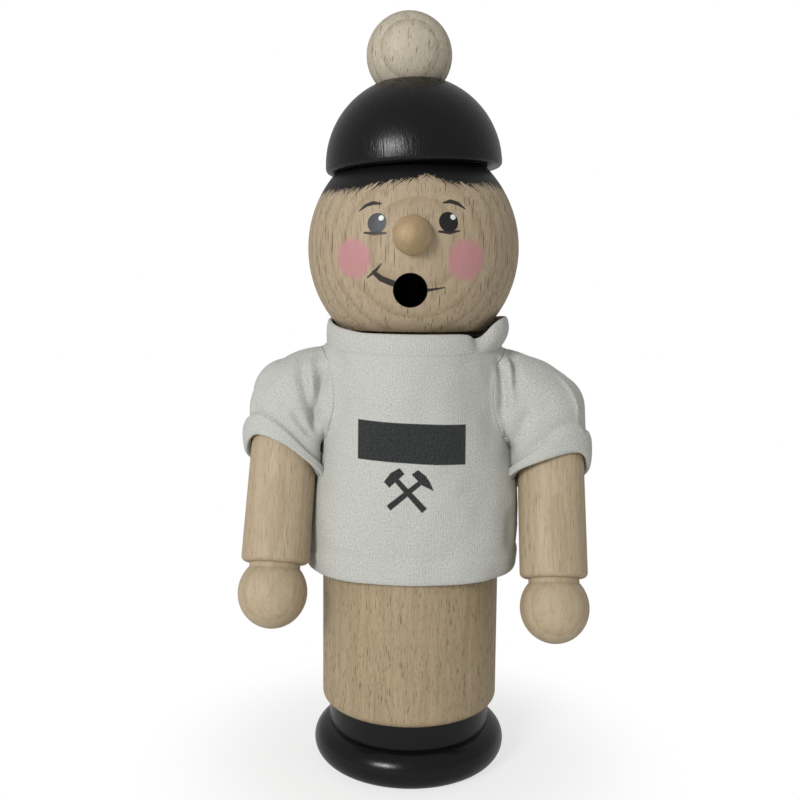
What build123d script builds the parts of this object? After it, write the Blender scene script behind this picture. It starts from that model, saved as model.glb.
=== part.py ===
from build123d import *
import os
from math import cos, radians, sin, sqrt, tan

# A turned wooden incense smoker, 180 mm tall, in millimetres.
# It stands on z = 0 with the foot's axis on Z, and looks towards -Y.
# Right and left are the figure's own: its right arm is on the -X side.

os.makedirs("parts", exist_ok=True)

# Driving dimensions

# Foot, turned in one piece with the spigot that carries the figure
foot_r = 23.5
foot_bead_h = 9.4
foot_step_r = 19.8
foot_step_h = 5.6
spigot_h = 12.0
spigot_bevel = 0.8

# Pressed steel plate for the incense cone, held by one round-headed nail
plate_r = 10.5
plate_t = 0.4
plate_rim_h = 1.8
plate_flare = 0.7
nail_head_r = 2.0
nail_head_h = 0.7
nail_r = 0.7
nail_l = 9.0

# Body, hollow from below, with a waist and rounded shoulders under the shirt
body_r = 21.5
body_edge_r = 2.0
body_straight_h = 33.0
waist_r = 19.3
shoulder_h = 85.6
shoulder_round_h = 7.6
neck_r = 11.0
neck_rise = 5.8
chamber_r = 13.5
chamber_h = 60.0
chamber_roof_h = 8.0
smoke_r = 4.0
air_hole_r = 4.0
air_hole_h = 19.0

# Smoke tube that is glued into the body and the head
tube_r = 5.5
tube_bore_r = 3.75
tube_in_body = 11.0
tube_in_head = 5.0

# Head, a ball slightly taller than wide, flat where it meets body and hat
head_r = 25.0
head_semi_h = 26.1
head_below = 18.9
head_above = 18.2
head_duct_h = 14.6
mouth_r = 3.7
mouth_below = 9.6
mouth_x = -0.85

# Nose, a cone with a round tip and a tenon
nose_r = 4.3
nose_l = 7.6
nose_tip_r = 2.6
nose_tip_turn = 40.0
nose_x = -0.35
nose_above = 2.2
nose_seat = 0.5
nose_yaw = 9.0
nose_lift = 1.0
nose_tenon_r = 2.0
nose_tenon_l = 6.0

# Hat, half a ball with a rounded rim, glued on at a slight tilt
hat_r = 20.8
hat_dome_h = 20.6
hat_rim_r = 1.2
hat_tilt = 3.0
hat_dowel_r = 3.0
hat_dowel_l = 12.0

# Bobble, a ball let into the top of the hat
bobble_r = 10.0
bobble_sink = 5.3
bobble_dowel_r = 2.5
bobble_dowel_l = 10.0

# Arms, dowels with a round shoulder end, on pegs that turn in the body
arm_r = 7.9
arm_l = 41.0
arm_edge_r = 1.4
arm_swing = 20.5
right_arm_gap = 2.6
right_arm_drop = 10.1
right_splay = 2.6
left_arm_gap = 6.15
left_arm_drop = 13.1
left_splay = 0.0
peg_r = 3.0
peg_in_body = 6.0
peg_in_arm = 8.5

# Hands, balls with a thin collar and a tenon
hand_r = 8.0
hand_semi_h = 8.25
hand_collar_r = 5.9
hand_collar_h = 1.2
hand_ball_up = 5.4
hand_tenon_r = 2.5
hand_tenon_l = 7.0

# Shirt, cut from knitted cotton
cloth_t = 0.6
hem_h = 34.5
neck_seam_drop = 3.5
neck_seam_tilt = 4.0
armhole_r = 12.6
armhole_out = 2.0
sleeve_ease = 0.2
sleeve_flare = 1.4
collar_t = 1.2
collar_lap = 1.75
fold_depth = 1.0

# Ease of the shirt over the body at five levels, from the hem to the neck
front_ease = [1.5, 1.7, 2.0, 2.2, 1.5]
back_ease = [2.0, 2.1, 2.2, 2.3, 1.9]
right_ease = [1.9, 1.4, 1.2, 1.6, 1.6]
left_ease = [3.4, 2.5, 1.2, 1.8, 2.0]
# Ease of the collar's top over the chin: front, back, right and left
collar_ease = [0.4, 1.7, 0.9, 1.7]

# Sleeve hems: length below the pivot at the arm's axis, and how far the
# edge climbs to the outside and to the front for each unit of width
right_sleeve_l = 18.1
right_sleeve_out_slope = 0.33
right_sleeve_front_slope = 0.57
left_sleeve_l = 19.2
left_sleeve_out_slope = 0.42
left_sleeve_front_slope = 0.47

# Clearances
glue_gap = 0.05
running_gap = 0.05
cloth_gap = 0.3
overrun = 2.0

# Shares of the sizes that they follow
sleeve_reach_share = 0.27
shirt_level_shares = [0.0, 0.24, 0.5, 0.76, 1.0]
fold_level_shares = [1.0, 0.7, 0.2, 0.4, 0.0]
fold_ring_shares = [0.0, 0.9, 0.7, 0.4]
sleeve_level_shares = [0.0, 0.5, 1.0]
sleeve_swell_shares = [0.3, 1.0, 0.8]
# Swell of a sleeve at sixteen places, from the outside round by the front
sleeve_fold_shares = [1.0, 0.95, 0.5, 0.8, 0.35, 0.7, 0.2, 0.15,
                      0.0, 0.15, 0.2, 0.7, 0.4, 0.85, 0.55, 0.95]
diagonal_share = sqrt(0.5)
nail_round_share = 0.6

# Points round a cloth outline, two to an arc
ring_points = 16
ring_step = 360 / ring_points

# Levels worked out from the sizes
waist_h = shoulder_h - shoulder_round_h
neck_h = shoulder_h + neck_rise
neck_seam_h = neck_h - neck_seam_drop
body_z = foot_bead_h + foot_step_h
spigot_top = body_z + spigot_h
shoulder_z = body_z + shoulder_h
neck_top = body_z + neck_h
head_z = neck_top + head_below
hat_z = head_z + head_above
mouth_z = head_z - mouth_below
nose_z = head_z + nose_above
hem_z = body_z + hem_h
seam_z = body_z + neck_seam_h
reach = 4 * head_r
tube_z = neck_top - tube_in_body
bobble_up = hat_rim_r + hat_dome_h + bobble_r - bobble_sink
hand_centre = arm_l + hand_ball_up + hand_collar_h
armhole_x = waist_r + armhole_out
sleeve_tight_r = arm_r + sleeve_ease + cloth_t


def turned(*edges):
    """A solid turned about Z from edges that close on the axis."""
    return revolve(make_face(Wire(list(edges))), Axis.Z)


def rod(r, length, z=0.0):
    """A round rod that stands on z."""
    return Pos(0, 0, z) * Cylinder(r, length, align=(Align.CENTER, Align.CENTER, Align.MIN))


def rod_x(r, x0, x1, y, z):
    """A round rod along X from x0 to x1."""
    along = Pos(min(x0, x1), y, z) * Rot(0, 90, 0)
    return along * rod(r, abs(x1 - x0))


def foot():
    """Half-round bead, step and spigot, drilled for the nail."""
    half = foot_bead_h / 2
    flat_r = foot_r - half
    shape = turned(
        Line((0, 0, 0), (flat_r, 0, 0)),
        ThreePointArc((flat_r, 0, 0), (foot_r, 0, half), (flat_r, 0, foot_bead_h)),
        Line((flat_r, 0, foot_bead_h), (0, 0, foot_bead_h)),
        Line((0, 0, foot_bead_h), (0, 0, 0)))
    shape += rod(foot_step_r, foot_step_h + half, half)
    spigot_r = chamber_r - running_gap
    spigot = rod(spigot_r, spigot_h + foot_step_h, foot_bead_h)
    top = spigot.edges().group_by(Axis.Z)[-1]
    shape += chamfer(top, spigot_bevel)
    return shape - rod(nail_r + glue_gap, nail_l, spigot_top - nail_l + plate_t)


def incense_plate():
    """Thin dish with a flared rim, on top of the spigot."""
    z = spigot_top
    rim_r = plate_r + plate_flare
    shape = turned(
        Line((0, 0, z), (plate_r, 0, z)),
        Line((plate_r, 0, z), (rim_r, 0, z + plate_rim_h)),
        Line((rim_r, 0, z + plate_rim_h), (rim_r - plate_t, 0, z + plate_rim_h)),
        Line((rim_r - plate_t, 0, z + plate_rim_h), (plate_r - plate_t, 0, z + plate_t)),
        Line((plate_r - plate_t, 0, z + plate_t), (0, 0, z + plate_t)),
        Line((0, 0, z + plate_t), (0, 0, z)))
    return shape - rod(nail_r + glue_gap, 2 * plate_t, z - plate_t / 2)


def plate_nail():
    """Round-headed nail that pins the plate to the spigot."""
    z = spigot_top + plate_t
    head = rod(nail_head_r, nail_head_h, z)
    top = head.edges().group_by(Axis.Z)[-1]
    head = fillet(top, nail_head_h * nail_round_share)
    shank_l = nail_l - plate_t
    return head + rod(nail_r, shank_l, z - shank_l)


def arm_sides():
    """Side sign, distance out, height and splay of each shoulder pivot."""
    right_x = waist_r + right_arm_gap + arm_r
    left_x = waist_r + left_arm_gap + arm_r
    return {"right": (-1, right_x, shoulder_z - right_arm_drop, right_splay),
            "left": (1, left_x, shoulder_z - left_arm_drop, left_splay)}


def body():
    """Turned body with chamber, smoke bore, air hole and peg holes."""
    edge_r = body_r - body_edge_r
    waist_z = body_z + waist_h
    mid_r = neck_r + (waist_r - neck_r) * diagonal_share
    mid_z = waist_z + (shoulder_z - waist_z) * diagonal_share
    corner = body_edge_r * (1 - diagonal_share)
    straight_z = body_z + body_straight_h
    outside = turned(
        Line((0, 0, body_z), (edge_r, 0, body_z)),
        ThreePointArc((edge_r, 0, body_z), (body_r - corner, 0, body_z + corner),
                      (body_r, 0, body_z + body_edge_r)),
        Line((body_r, 0, body_z + body_edge_r), (body_r, 0, straight_z)),
        Line((body_r, 0, straight_z), (waist_r, 0, waist_z)),
        ThreePointArc((waist_r, 0, waist_z), (mid_r, 0, mid_z), (neck_r, 0, shoulder_z)),
        Line((neck_r, 0, shoulder_z), (neck_r, 0, neck_top)),
        Line((neck_r, 0, neck_top), (0, 0, neck_top)),
        Line((0, 0, neck_top), (0, 0, body_z)))
    roof_z = body_z + chamber_h
    smoke_z = roof_z + chamber_roof_h
    seat_r = tube_r + glue_gap
    hollow = turned(
        Line((0, 0, body_z - overrun), (chamber_r, 0, body_z - overrun)),
        Line((chamber_r, 0, body_z - overrun), (chamber_r, 0, roof_z)),
        Line((chamber_r, 0, roof_z), (smoke_r, 0, smoke_z)),
        Line((smoke_r, 0, smoke_z), (smoke_r, 0, tube_z)),
        Line((smoke_r, 0, tube_z), (seat_r, 0, tube_z)),
        Line((seat_r, 0, tube_z), (seat_r, 0, neck_top + overrun)),
        Line((seat_r, 0, neck_top + overrun), (0, 0, neck_top + overrun)),
        Line((0, 0, neck_top + overrun), (0, 0, body_z - overrun)))
    shape = outside - hollow
    air = Pos(0, body_r + overrun, body_z + air_hole_h) * Rot(90, 0, 0)
    shape -= air * rod(air_hole_r, body_r)
    for sign, out, pivot_z, splay in arm_sides().values():
        hole_end = sign * (waist_r - peg_in_body - running_gap)
        shape -= rod_x(peg_r + running_gap, hole_end, sign * (waist_r + overrun), 0, pivot_z)
    return shape


def neck_tube():
    """Bored dowel that leads the smoke from the body into the head."""
    length = tube_in_body + tube_in_head
    return rod(tube_r, length, tube_z) - rod(tube_bore_r, 2 * length, tube_z - length / 2)


def nose_place():
    """Frame of the nose: its base at the spot face, +Z out of the face."""
    seat_y = -(head_r - nose_seat)
    return Pos(nose_x, seat_y, nose_z) * Rot(90 - nose_lift, 0, 0) * Rot(0, -nose_yaw, 0)


def hat_place():
    """Frame of the hat: its flat underside, leaning to the right side."""
    return Pos(0, 0, hat_z) * Rot(0, -hat_tilt, 0)


def head():
    """Ball with its bores, the mouth, the nose seat and two flats."""
    outline = EllipticalCenterArc((0, 0), head_r, head_semi_h, start_angle=-90, arc_size=180)
    half = make_face(Wire([outline, Line((0, head_semi_h), (0, -head_semi_h))]))
    ball = Pos(0, 0, head_z) * revolve(Plane.XZ * half, Axis.Z)
    ball -= Pos(0, 0, neck_top - reach / 2) * Box(reach, reach, reach)
    ball -= hat_place() * Pos(0, 0, reach / 2) * Box(reach, reach, reach)
    ball -= rod(tube_r + glue_gap, tube_in_head + glue_gap + overrun, neck_top - overrun)
    ball -= rod(smoke_r, head_duct_h, neck_top)
    mouth = Pos(mouth_x, 0, mouth_z) * Rot(90, 0, 0)
    ball -= mouth * rod(mouth_r, head_r + overrun)
    nose = nose_place()
    ball -= nose * rod(nose_r + glue_gap, overrun)
    ball -= nose * rod(nose_tenon_r + glue_gap, nose_tenon_l + glue_gap + overrun,
                       -(nose_tenon_l + glue_gap))
    return ball - hat_place() * rod(hat_dowel_r + glue_gap, hat_dowel_l, -hat_dowel_l / 2 - glue_gap)


def nose():
    """Turned cone whose swelling side runs smoothly into a round tip."""
    tip_z = nose_l - nose_tip_r
    joint_angle = radians(nose_tip_turn)
    middle_angle = radians((nose_tip_turn + 90) / 2)
    joint = (nose_tip_r * cos(joint_angle), 0, tip_z + nose_tip_r * sin(joint_angle))
    middle = (nose_tip_r * cos(middle_angle), 0, tip_z + nose_tip_r * sin(middle_angle))
    down_side = (sin(joint_angle), 0, -cos(joint_angle))
    shape = turned(
        Line((0, 0, glue_gap), (nose_r, 0, glue_gap)),
        TangentArc(joint, (nose_r, 0, glue_gap), tangent=down_side),
        ThreePointArc(joint, middle, (0, 0, nose_l)),
        Line((0, 0, nose_l), (0, 0, glue_gap)))
    shape += rod(nose_tenon_r, nose_tenon_l + glue_gap, -nose_tenon_l)
    return nose_place() * shape


def hat():
    """Half ball with a rounded rim, seats for its dowel and the bobble."""
    rim_in = hat_r - hat_rim_r
    corner = hat_rim_r * (1 - diagonal_share)
    dome = EllipticalCenterArc((0, hat_rim_r), hat_r, hat_dome_h, start_angle=0, arc_size=90)
    top = hat_rim_r + hat_dome_h
    outline = Wire([
        Line((0, 0), (rim_in, 0)),
        ThreePointArc((rim_in, 0), (hat_r - corner, corner), (hat_r, hat_rim_r)),
        dome,
        Line((0, top), (0, 0))])
    shape = revolve(Plane.XZ * make_face(outline), Axis.Z)
    shape -= Pos(0, 0, bobble_up) * Sphere(bobble_r + glue_gap)
    shape -= rod(hat_dowel_r + glue_gap, hat_dowel_l / 2 + glue_gap + overrun, -overrun)
    seat = bobble_up - bobble_r
    hole_l = bobble_dowel_l / 2 + glue_gap
    shape -= rod(bobble_dowel_r + glue_gap, hole_l + overrun, seat - hole_l)
    return hat_place() * Pos(0, 0, glue_gap) * shape


def hat_dowel():
    """Plain dowel between head and hat."""
    return hat_place() * rod(hat_dowel_r, hat_dowel_l, -hat_dowel_l / 2)


def bobble():
    """Ball with a blind hole for its dowel."""
    seat = bobble_up - bobble_r
    ball = Pos(0, 0, bobble_up) * Sphere(bobble_r)
    ball -= rod(bobble_dowel_r + glue_gap, bobble_dowel_l / 2 + glue_gap + overrun, seat - overrun)
    return hat_place() * Pos(0, 0, glue_gap) * ball


def bobble_dowel():
    """Plain dowel between hat and bobble."""
    seat = bobble_up - bobble_r
    return hat_place() * Pos(0, 0, glue_gap) * rod(bobble_dowel_r, bobble_dowel_l,
                                                    seat - bobble_dowel_l / 2)


def arm_place(side):
    """Frame of an arm: its pivot, with the arm running along -Z."""
    sign, out, pivot_z, splay = arm_sides()[side]
    return Pos(sign * out, 0, pivot_z) * Rot(-arm_swing, 0, 0) * Rot(0, -sign * splay, 0)


def arm(side):
    """Dowel with a ball end at the shoulder and a rounded lower edge."""
    sign, out, pivot_z, splay = arm_sides()[side]
    corner = arm_edge_r * (1 - diagonal_share)
    edge = arm_r - arm_edge_r
    shape = turned(
        Line((0, 0, -arm_l), (edge, 0, -arm_l)),
        ThreePointArc((edge, 0, -arm_l), (arm_r - corner, 0, corner - arm_l),
                      (arm_r, 0, arm_edge_r - arm_l)),
        Line((arm_r, 0, arm_edge_r - arm_l), (arm_r, 0, 0)),
        ThreePointArc((arm_r, 0, 0), (arm_r * diagonal_share, 0, arm_r * diagonal_share),
                      (0, 0, arm_r)),
        Line((0, 0, arm_r), (0, 0, -arm_l)))
    tenon_hole = hand_tenon_l + glue_gap
    shape -= rod(hand_tenon_r + glue_gap, tenon_hole + overrun, -arm_l - overrun)
    shape = arm_place(side) * shape
    hole_end = sign * (out - arm_r + peg_in_arm + glue_gap)
    return shape - rod_x(peg_r + glue_gap, sign * (out - arm_r - overrun), hole_end, 0, pivot_z)


def hand(side):
    """Turned ball with a thin collar against the arm and a tenon."""
    chord = hand_r * sqrt(1 - (hand_ball_up / hand_semi_h) ** 2)
    outline = EllipticalCenterArc((0, 0), hand_r, hand_semi_h, start_angle=-90, arc_size=180)
    half = make_face(Wire([outline, Line((0, hand_semi_h), (0, -hand_semi_h))]))
    ball = revolve(Plane.XZ * half, Axis.Z)
    ball -= Pos(0, 0, hand_ball_up + reach / 2) * Box(reach, reach, reach)
    collar_r = min(hand_collar_r, chord)
    ball += rod(collar_r, hand_collar_h + glue_gap, hand_ball_up - glue_gap)
    ball += rod(hand_tenon_r, hand_tenon_l + hand_collar_h, hand_ball_up)
    return arm_place(side) * Pos(0, 0, -hand_centre) * ball


def shoulder_peg(side):
    """Peg along X that is glued in the arm and turns in the body."""
    sign, out, pivot_z, splay = arm_sides()[side]
    return rod_x(peg_r, sign * (waist_r - peg_in_body), sign * (out - arm_r + peg_in_arm), 0, pivot_z)


def ring_face(points):
    """A closed outline of arcs, each through three of the points."""
    count = len(points)
    arcs = [ThreePointArc(points[i], points[i + 1], points[(i + 2) % count])
            for i in range(0, count, 2)]
    return make_face(Wire(arcs))


def oval_radius(angle, front, back, right, left):
    """Radius of an oval with four half widths, angle 0 at the front."""
    across = left if sin(radians(angle)) > 0 else right
    along = front if cos(radians(angle)) > 0 else back
    return 1 / sqrt((sin(radians(angle)) / across) ** 2 + (cos(radians(angle)) / along) ** 2)


def cloth_ring(z, widths, fold, inset, tilt=0.0):
    """Outline of the shirt at a level, with a valley at each fold."""
    points = []
    last_arc = ring_points - 2
    for i in range(ring_points):
        angle = ring_step * (i + 1)
        r = oval_radius(angle, *widths) - inset
        if i % 2 == 0:
            ring_place = min(i, last_arc - i) // 2
            r -= fold * fold_ring_shares[ring_place]
        y = -r * cos(radians(angle))
        points.append((r * sin(radians(angle)), y, z + y * tan(radians(tilt))))
    return ring_face(points)


def body_radius(h):
    """Radius of the body under the shirt, at a height above its foot."""
    share = (h - body_straight_h) / (waist_h - body_straight_h)
    return body_r + (waist_r - body_r) * min(max(share, 0), 1)


def shirt_widths(level, h):
    """Half widths of the shirt to the front, back, right and left."""
    r = body_radius(h)
    return [r + ease[level] for ease in (front_ease, back_ease, right_ease, left_ease)]


def shirt_solid(inset):
    """Everything inside the shirt's body, out to inset from its outside."""
    rings = []
    for i, share in enumerate(shirt_level_shares):
        h = hem_h + (neck_seam_h - hem_h) * share
        fold = fold_depth * fold_level_shares[i]
        tilt = neck_seam_tilt * share
        rings.append(cloth_ring(body_z + h, shirt_widths(i, h), fold, inset, tilt))
    return loft(rings)


def shirt_shell():
    """Shirt body with an open hem, an open neck and a rim at each armhole."""
    outer = shirt_solid(0)
    inner = shirt_solid(cloth_t)
    shell = outer - inner
    for sign, out, pivot_z, splay in arm_sides().values():
        rim = rod_x(armhole_r, sign * waist_r / 2, sign * armhole_x, 0, pivot_z)
        shell += rim - inner
        hole_end = sign * (armhole_x + overrun)
        shell -= rod_x(armhole_r - cloth_t, sign * waist_r / 2, hole_end, 0, pivot_z)
    top = Plane((0, 0, seam_z), z_dir=(0, -sin(radians(neck_seam_tilt)), cos(radians(neck_seam_tilt))))
    return split(shell, bisect_by=top, keep=Keep.BOTTOM)


def shirt_half(shell, front):
    """Front or back of the shirt, cut at the side seams."""
    return split(shell, bisect_by=Plane.XZ, keep=Keep.TOP if front else Keep.BOTTOM)


def shirt_collar():
    """Folded rib band that stands up round the chin."""
    foot_z = seam_z + glue_gap
    top_z = neck_top + collar_lap
    chin_r = head_r * sqrt(1 - ((head_below - collar_lap) / head_semi_h) ** 2)
    foot_widths = shirt_widths(-1, neck_seam_h)
    top_widths = [chin_r + collar_t + ease for ease in collar_ease]
    solids = []
    for inset in (0, collar_t):
        lower = cloth_ring(foot_z, foot_widths, 0, inset, neck_seam_tilt)
        upper = cloth_ring(top_z, top_widths, 0, inset, neck_seam_tilt)
        solids.append(loft([lower, upper], ruled=True))
    return solids[0] - solids[1]


def sleeve_cap(sign, out, inset):
    """Shoulder of a sleeve, turned about the peg's axis."""
    start = armhole_x + cloth_gap
    end = out + arm_r * sleeve_reach_share
    end_r = sleeve_tight_r - arm_r * (1 - sqrt(1 - sleeve_reach_share ** 2)) - inset
    ring_r = armhole_r - inset
    mid = (start + end) / 2
    mid_r = (ring_r + end_r) / 2 + sleeve_flare / 2
    shape = revolve(make_face(Wire([
        Line((0, 0, start), (ring_r, 0, start)),
        ThreePointArc((ring_r, 0, start), (mid_r, 0, mid), (end_r, 0, end)),
        Line((end_r, 0, end), (0, 0, end)),
        Line((0, 0, end), (0, 0, start))])), Axis.Z)
    return Rot(0, 90 * sign, 0) * shape


def sleeve_tube(sign, length, inset):
    """Folded tube round the arm, with a round top, about the arm's axis."""
    rings = []
    for level, swell in zip(sleeve_level_shares, sleeve_swell_shares):
        points = []
        for i in range(ring_points):
            place = -sign * i % ring_points
            angle = radians(ring_step * place)
            r = sleeve_tight_r + sleeve_flare * swell * sleeve_fold_shares[place] - inset
            points.append((sign * r * cos(angle), -r * sin(angle), -length * level))
        rings.append(ring_face(points))
    return loft(rings) + Sphere(sleeve_tight_r - inset)


def sleeve(side):
    """Short sleeve over the arm's shoulder end, open at armhole and hem."""
    sign, out, pivot_z, splay = arm_sides()[side]
    hem_l = right_sleeve_l if side == "right" else left_sleeve_l
    out_slope = right_sleeve_out_slope if side == "right" else left_sleeve_out_slope
    front_slope = right_sleeve_front_slope if side == "right" else left_sleeve_front_slope
    length = hem_l + sleeve_tight_r * (out_slope + front_slope)
    pivot = Pos(0, 0, pivot_z)
    solids = []
    for inset in (0, cloth_t):
        cap = pivot * sleeve_cap(sign, out, inset)
        tube_shape = arm_place(side) * sleeve_tube(sign, length, inset)
        solids.append(cap + tube_shape)
    shell = solids[0] - solids[1]
    shell -= rod_x(armhole_r - cloth_t, 0, sign * (armhole_x + cloth_gap + cloth_t), 0, pivot_z)
    inner_x = sign * (armhole_x + cloth_gap)
    shell -= Pos(inner_x - sign * reach / 2, 0, pivot_z) * Box(reach, reach, reach)
    hem = Plane((0, 0, -hem_l), z_dir=(-out_slope * sign, front_slope, 1))
    below = arm_place(side) * hem.location * Pos(0, 0, -reach / 2)
    return shell - below * Box(reach, reach, reach)


shirt = shirt_shell()
nodes = {
    "foot": foot(),
    "incense_plate": incense_plate(),
    "plate_nail": plate_nail(),
    "body": body(),
    "neck_tube": neck_tube(),
    "head": head(),
    "nose": nose(),
    "hat": hat(),
    "hat_dowel": hat_dowel(),
    "bobble": bobble(),
    "bobble_dowel": bobble_dowel(),
    "shirt_front": shirt_half(shirt, True),
    "shirt_back": shirt_half(shirt, False),
    "shirt_collar": shirt_collar(),
}
for side in ("right", "left"):
    nodes[side + "_arm"] = arm(side)
    nodes[side + "_hand"] = hand(side)
    nodes[side + "_shoulder_peg"] = shoulder_peg(side)
    nodes[side + "_sleeve"] = sleeve(side)

for name, shape in nodes.items():
    export_step(shape, os.path.join("parts", name + ".step"))
print(len(nodes), "nodes")
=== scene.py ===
# %% [markdown]
# An incense smoker is a turned wooden figure with a hollow body. A cone of incense smoulders inside it,
# and the smoke leaves by the mouth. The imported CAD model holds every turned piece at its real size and
# place, so this scene keeps those pieces, gives them their woods and paints, and makes the knitted shirt,
# which is the one soft thing on the figure, as cloth.

import bpy
import bmesh
import math
import numpy as np
from mathutils import Matrix, Vector, noise
from mathutils.bvhtree import BVHTree


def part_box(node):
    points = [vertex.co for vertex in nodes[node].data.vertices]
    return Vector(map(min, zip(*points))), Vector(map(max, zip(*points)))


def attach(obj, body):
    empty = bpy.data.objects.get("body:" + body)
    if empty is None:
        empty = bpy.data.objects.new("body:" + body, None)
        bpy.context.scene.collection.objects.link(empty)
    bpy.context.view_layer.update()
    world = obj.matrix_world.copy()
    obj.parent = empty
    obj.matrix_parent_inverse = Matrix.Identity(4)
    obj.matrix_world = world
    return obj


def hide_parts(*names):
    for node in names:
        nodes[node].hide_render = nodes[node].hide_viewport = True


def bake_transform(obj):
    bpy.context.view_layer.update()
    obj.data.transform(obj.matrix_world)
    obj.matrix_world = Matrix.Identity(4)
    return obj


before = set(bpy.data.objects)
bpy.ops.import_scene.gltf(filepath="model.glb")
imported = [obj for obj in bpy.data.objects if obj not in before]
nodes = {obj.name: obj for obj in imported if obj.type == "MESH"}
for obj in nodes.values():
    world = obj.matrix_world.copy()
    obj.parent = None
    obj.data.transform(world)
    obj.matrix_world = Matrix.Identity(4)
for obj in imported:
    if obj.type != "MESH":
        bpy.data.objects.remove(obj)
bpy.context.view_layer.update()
mm = 0.001

# %% [markdown]
# The camera stands where the photographer stood: about a quarter of a metre in front of the chest, a
# little to the figure's right, looking slightly down. A lens this close makes the foot look seen from
# above and the hat from below, so the distance matters as much as the angle.

# %% Camera
camera_place = (-2.88 * mm, -241.4 * mm, 117.0 * mm)
camera_pitch = math.radians(6.6)
camera_roll = math.radians(0.5)
camera_data = bpy.data.cameras.new("camera")
camera_data.lens = 45
camera_data.sensor_width = 36
camera_data.clip_start = 0.01
camera = bpy.data.objects.new("camera", camera_data)
tilt = Matrix.Rotation(math.pi / 2 - camera_pitch, 4, "X") @ Matrix.Rotation(camera_roll, 4, "Z")
camera.matrix_world = Matrix.Translation(camera_place) @ tilt
bpy.context.scene.collection.objects.link(camera)
bpy.context.scene.camera = camera
bpy.context.scene.view_settings.view_transform = "Standard"

# %% [markdown]
# Colours are written as the hex codes that a colour picker shows, which are sRGB. Blender's shaders work
# in linear light, so one function turns each code to linear values.

# %% Colours and nodes
def colour(code):
    """Linear RGBA from an sRGB hex code."""
    channels = [int(code[i:i + 2], 16) / 255 for i in (0, 2, 4)]
    linear = [c / 12.92 if c <= 0.04045 else ((c + 0.055) / 1.055) ** 2.4 for c in channels]
    return (*linear, 1.0)


def node(material, kind, inputs=None, **settings):
    """Adds a shader node, sets its properties, and fills or links its inputs."""
    made = material.node_tree.nodes.new("ShaderNode" + kind)
    for name, value in settings.items():
        setattr(made, name, value)
    for key, value in (inputs or {}).items():
        if isinstance(value, bpy.types.NodeSocket):
            material.node_tree.links.new(value, made.inputs[key])
        else:
            made.inputs[key].default_value = value
    return made


def new_material(name):
    """An empty node material and its Principled shader."""
    material = bpy.data.materials.new(name)
    material.use_nodes = True
    return material, material.node_tree.nodes["Principled BSDF"]


def dress(piece, material):
    """Gives a piece one material."""
    piece.data.materials.clear()
    piece.data.materials.append(material)


# %% [markdown]
# The light is one soft lamp, high and to the left of the camera, in a pale room. It draws the small bright
# patch on the hat and the shade to the right of the nose. The floor is pale, and the room is white to the
# camera, so the figure stands on plain white as in a catalogue.

# %% Light and floor
world = bpy.data.worlds.new("room")
bpy.context.scene.world = world
world.use_nodes = True
room = world.node_tree
background = room.nodes["Background"]
light_path = room.nodes.new("ShaderNodeLightPath")
seen = room.nodes.new("ShaderNodeMath")
seen.operation = "MAXIMUM"
room.links.new(light_path.outputs["Is Camera Ray"], seen.inputs[0])
room.links.new(light_path.outputs["Is Transmission Ray"], seen.inputs[1])
level = room.nodes.new("ShaderNodeMapRange")
room_level = 0.45
level.inputs["To Min"].default_value = room_level
level.inputs["To Max"].default_value = 1.0
room.links.new(seen.outputs[0], level.inputs["Value"])
room.links.new(level.outputs[0], background.inputs["Strength"])
background.inputs["Color"].default_value = (1, 1, 1, 1)


def lamp(name, place, aim, size, power):
    """A square soft lamp that faces a point."""
    data = bpy.data.lights.new(name, "AREA")
    data.shape = "SQUARE"
    data.size = size
    data.energy = power
    made = bpy.data.objects.new(name, data)
    to_lamp = Vector(place) - Vector(aim)
    made.matrix_world = Matrix.Translation(place) @ to_lamp.to_track_quat("Z", "Y").to_matrix().to_4x4()
    bpy.context.scene.collection.objects.link(made)


chest = (0, 0, 0.1)
lamp_place = (-0.48, -0.84, 0.46)
lamp_size = 0.26
lamp_power = 6.2
lamp("key_lamp", lamp_place, chest, lamp_size, lamp_power)
print("lamp:", lamp_power, "W, room:", room_level)

bpy.ops.object.select_all(action="DESELECT")
bpy.ops.mesh.primitive_plane_add(size=6)
floor = bpy.context.object
floor.name = "floor"
floor_paint, shader = new_material("pale_floor")
shader.inputs["Base Color"].default_value = colour("F4F4F2")
shader.inputs["Roughness"].default_value = 0.9
shader.inputs["Specular IOR Level"].default_value = 0.1
# To the camera the floor fades to white away from the foot, and keeps the shadow near it
fade_from, fade_to = 0.028, 0.07
least_fade = 0.7
floor_place = node(floor_paint, "TexCoord")
from_foot = node(floor_paint, "VectorMath", {0: floor_place.outputs["Object"]}, operation="LENGTH")
fade = node(floor_paint, "MapRange", {"Value": from_foot.outputs["Value"], "From Min": fade_from,
                                      "From Max": fade_to, "To Min": least_fade, "To Max": 1.0},
            interpolation_type="SMOOTHSTEP")
floor_rays = node(floor_paint, "LightPath")
floor_seen = node(floor_paint, "Math", {0: floor_rays.outputs["Is Camera Ray"], 1: fade.outputs[0]},
                  operation="MULTIPLY")
white_glow = node(floor_paint, "Emission", {"Color": (1, 1, 1, 1), "Strength": 1.0})
floor_mix = node(floor_paint, "MixShader", {0: floor_seen.outputs[0], 1: shader.outputs[0],
                                            2: white_glow.outputs[0]})
floor_output = floor_paint.node_tree.nodes["Material Output"]
floor_paint.node_tree.links.new(floor_mix.outputs[0], floor_output.inputs[0])
dress(floor, floor_paint)

# %% [markdown]
# Beech is a pale, fine wood. Its growth rings are faint, and its rays show as short dark flecks along the
# grain. Both are drawn in the volume of the piece, so they run on over every turned shape as they do when
# a lathe cuts into the blank: rings as layers a few millimetres apart, flecks as long thin grains.

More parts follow.
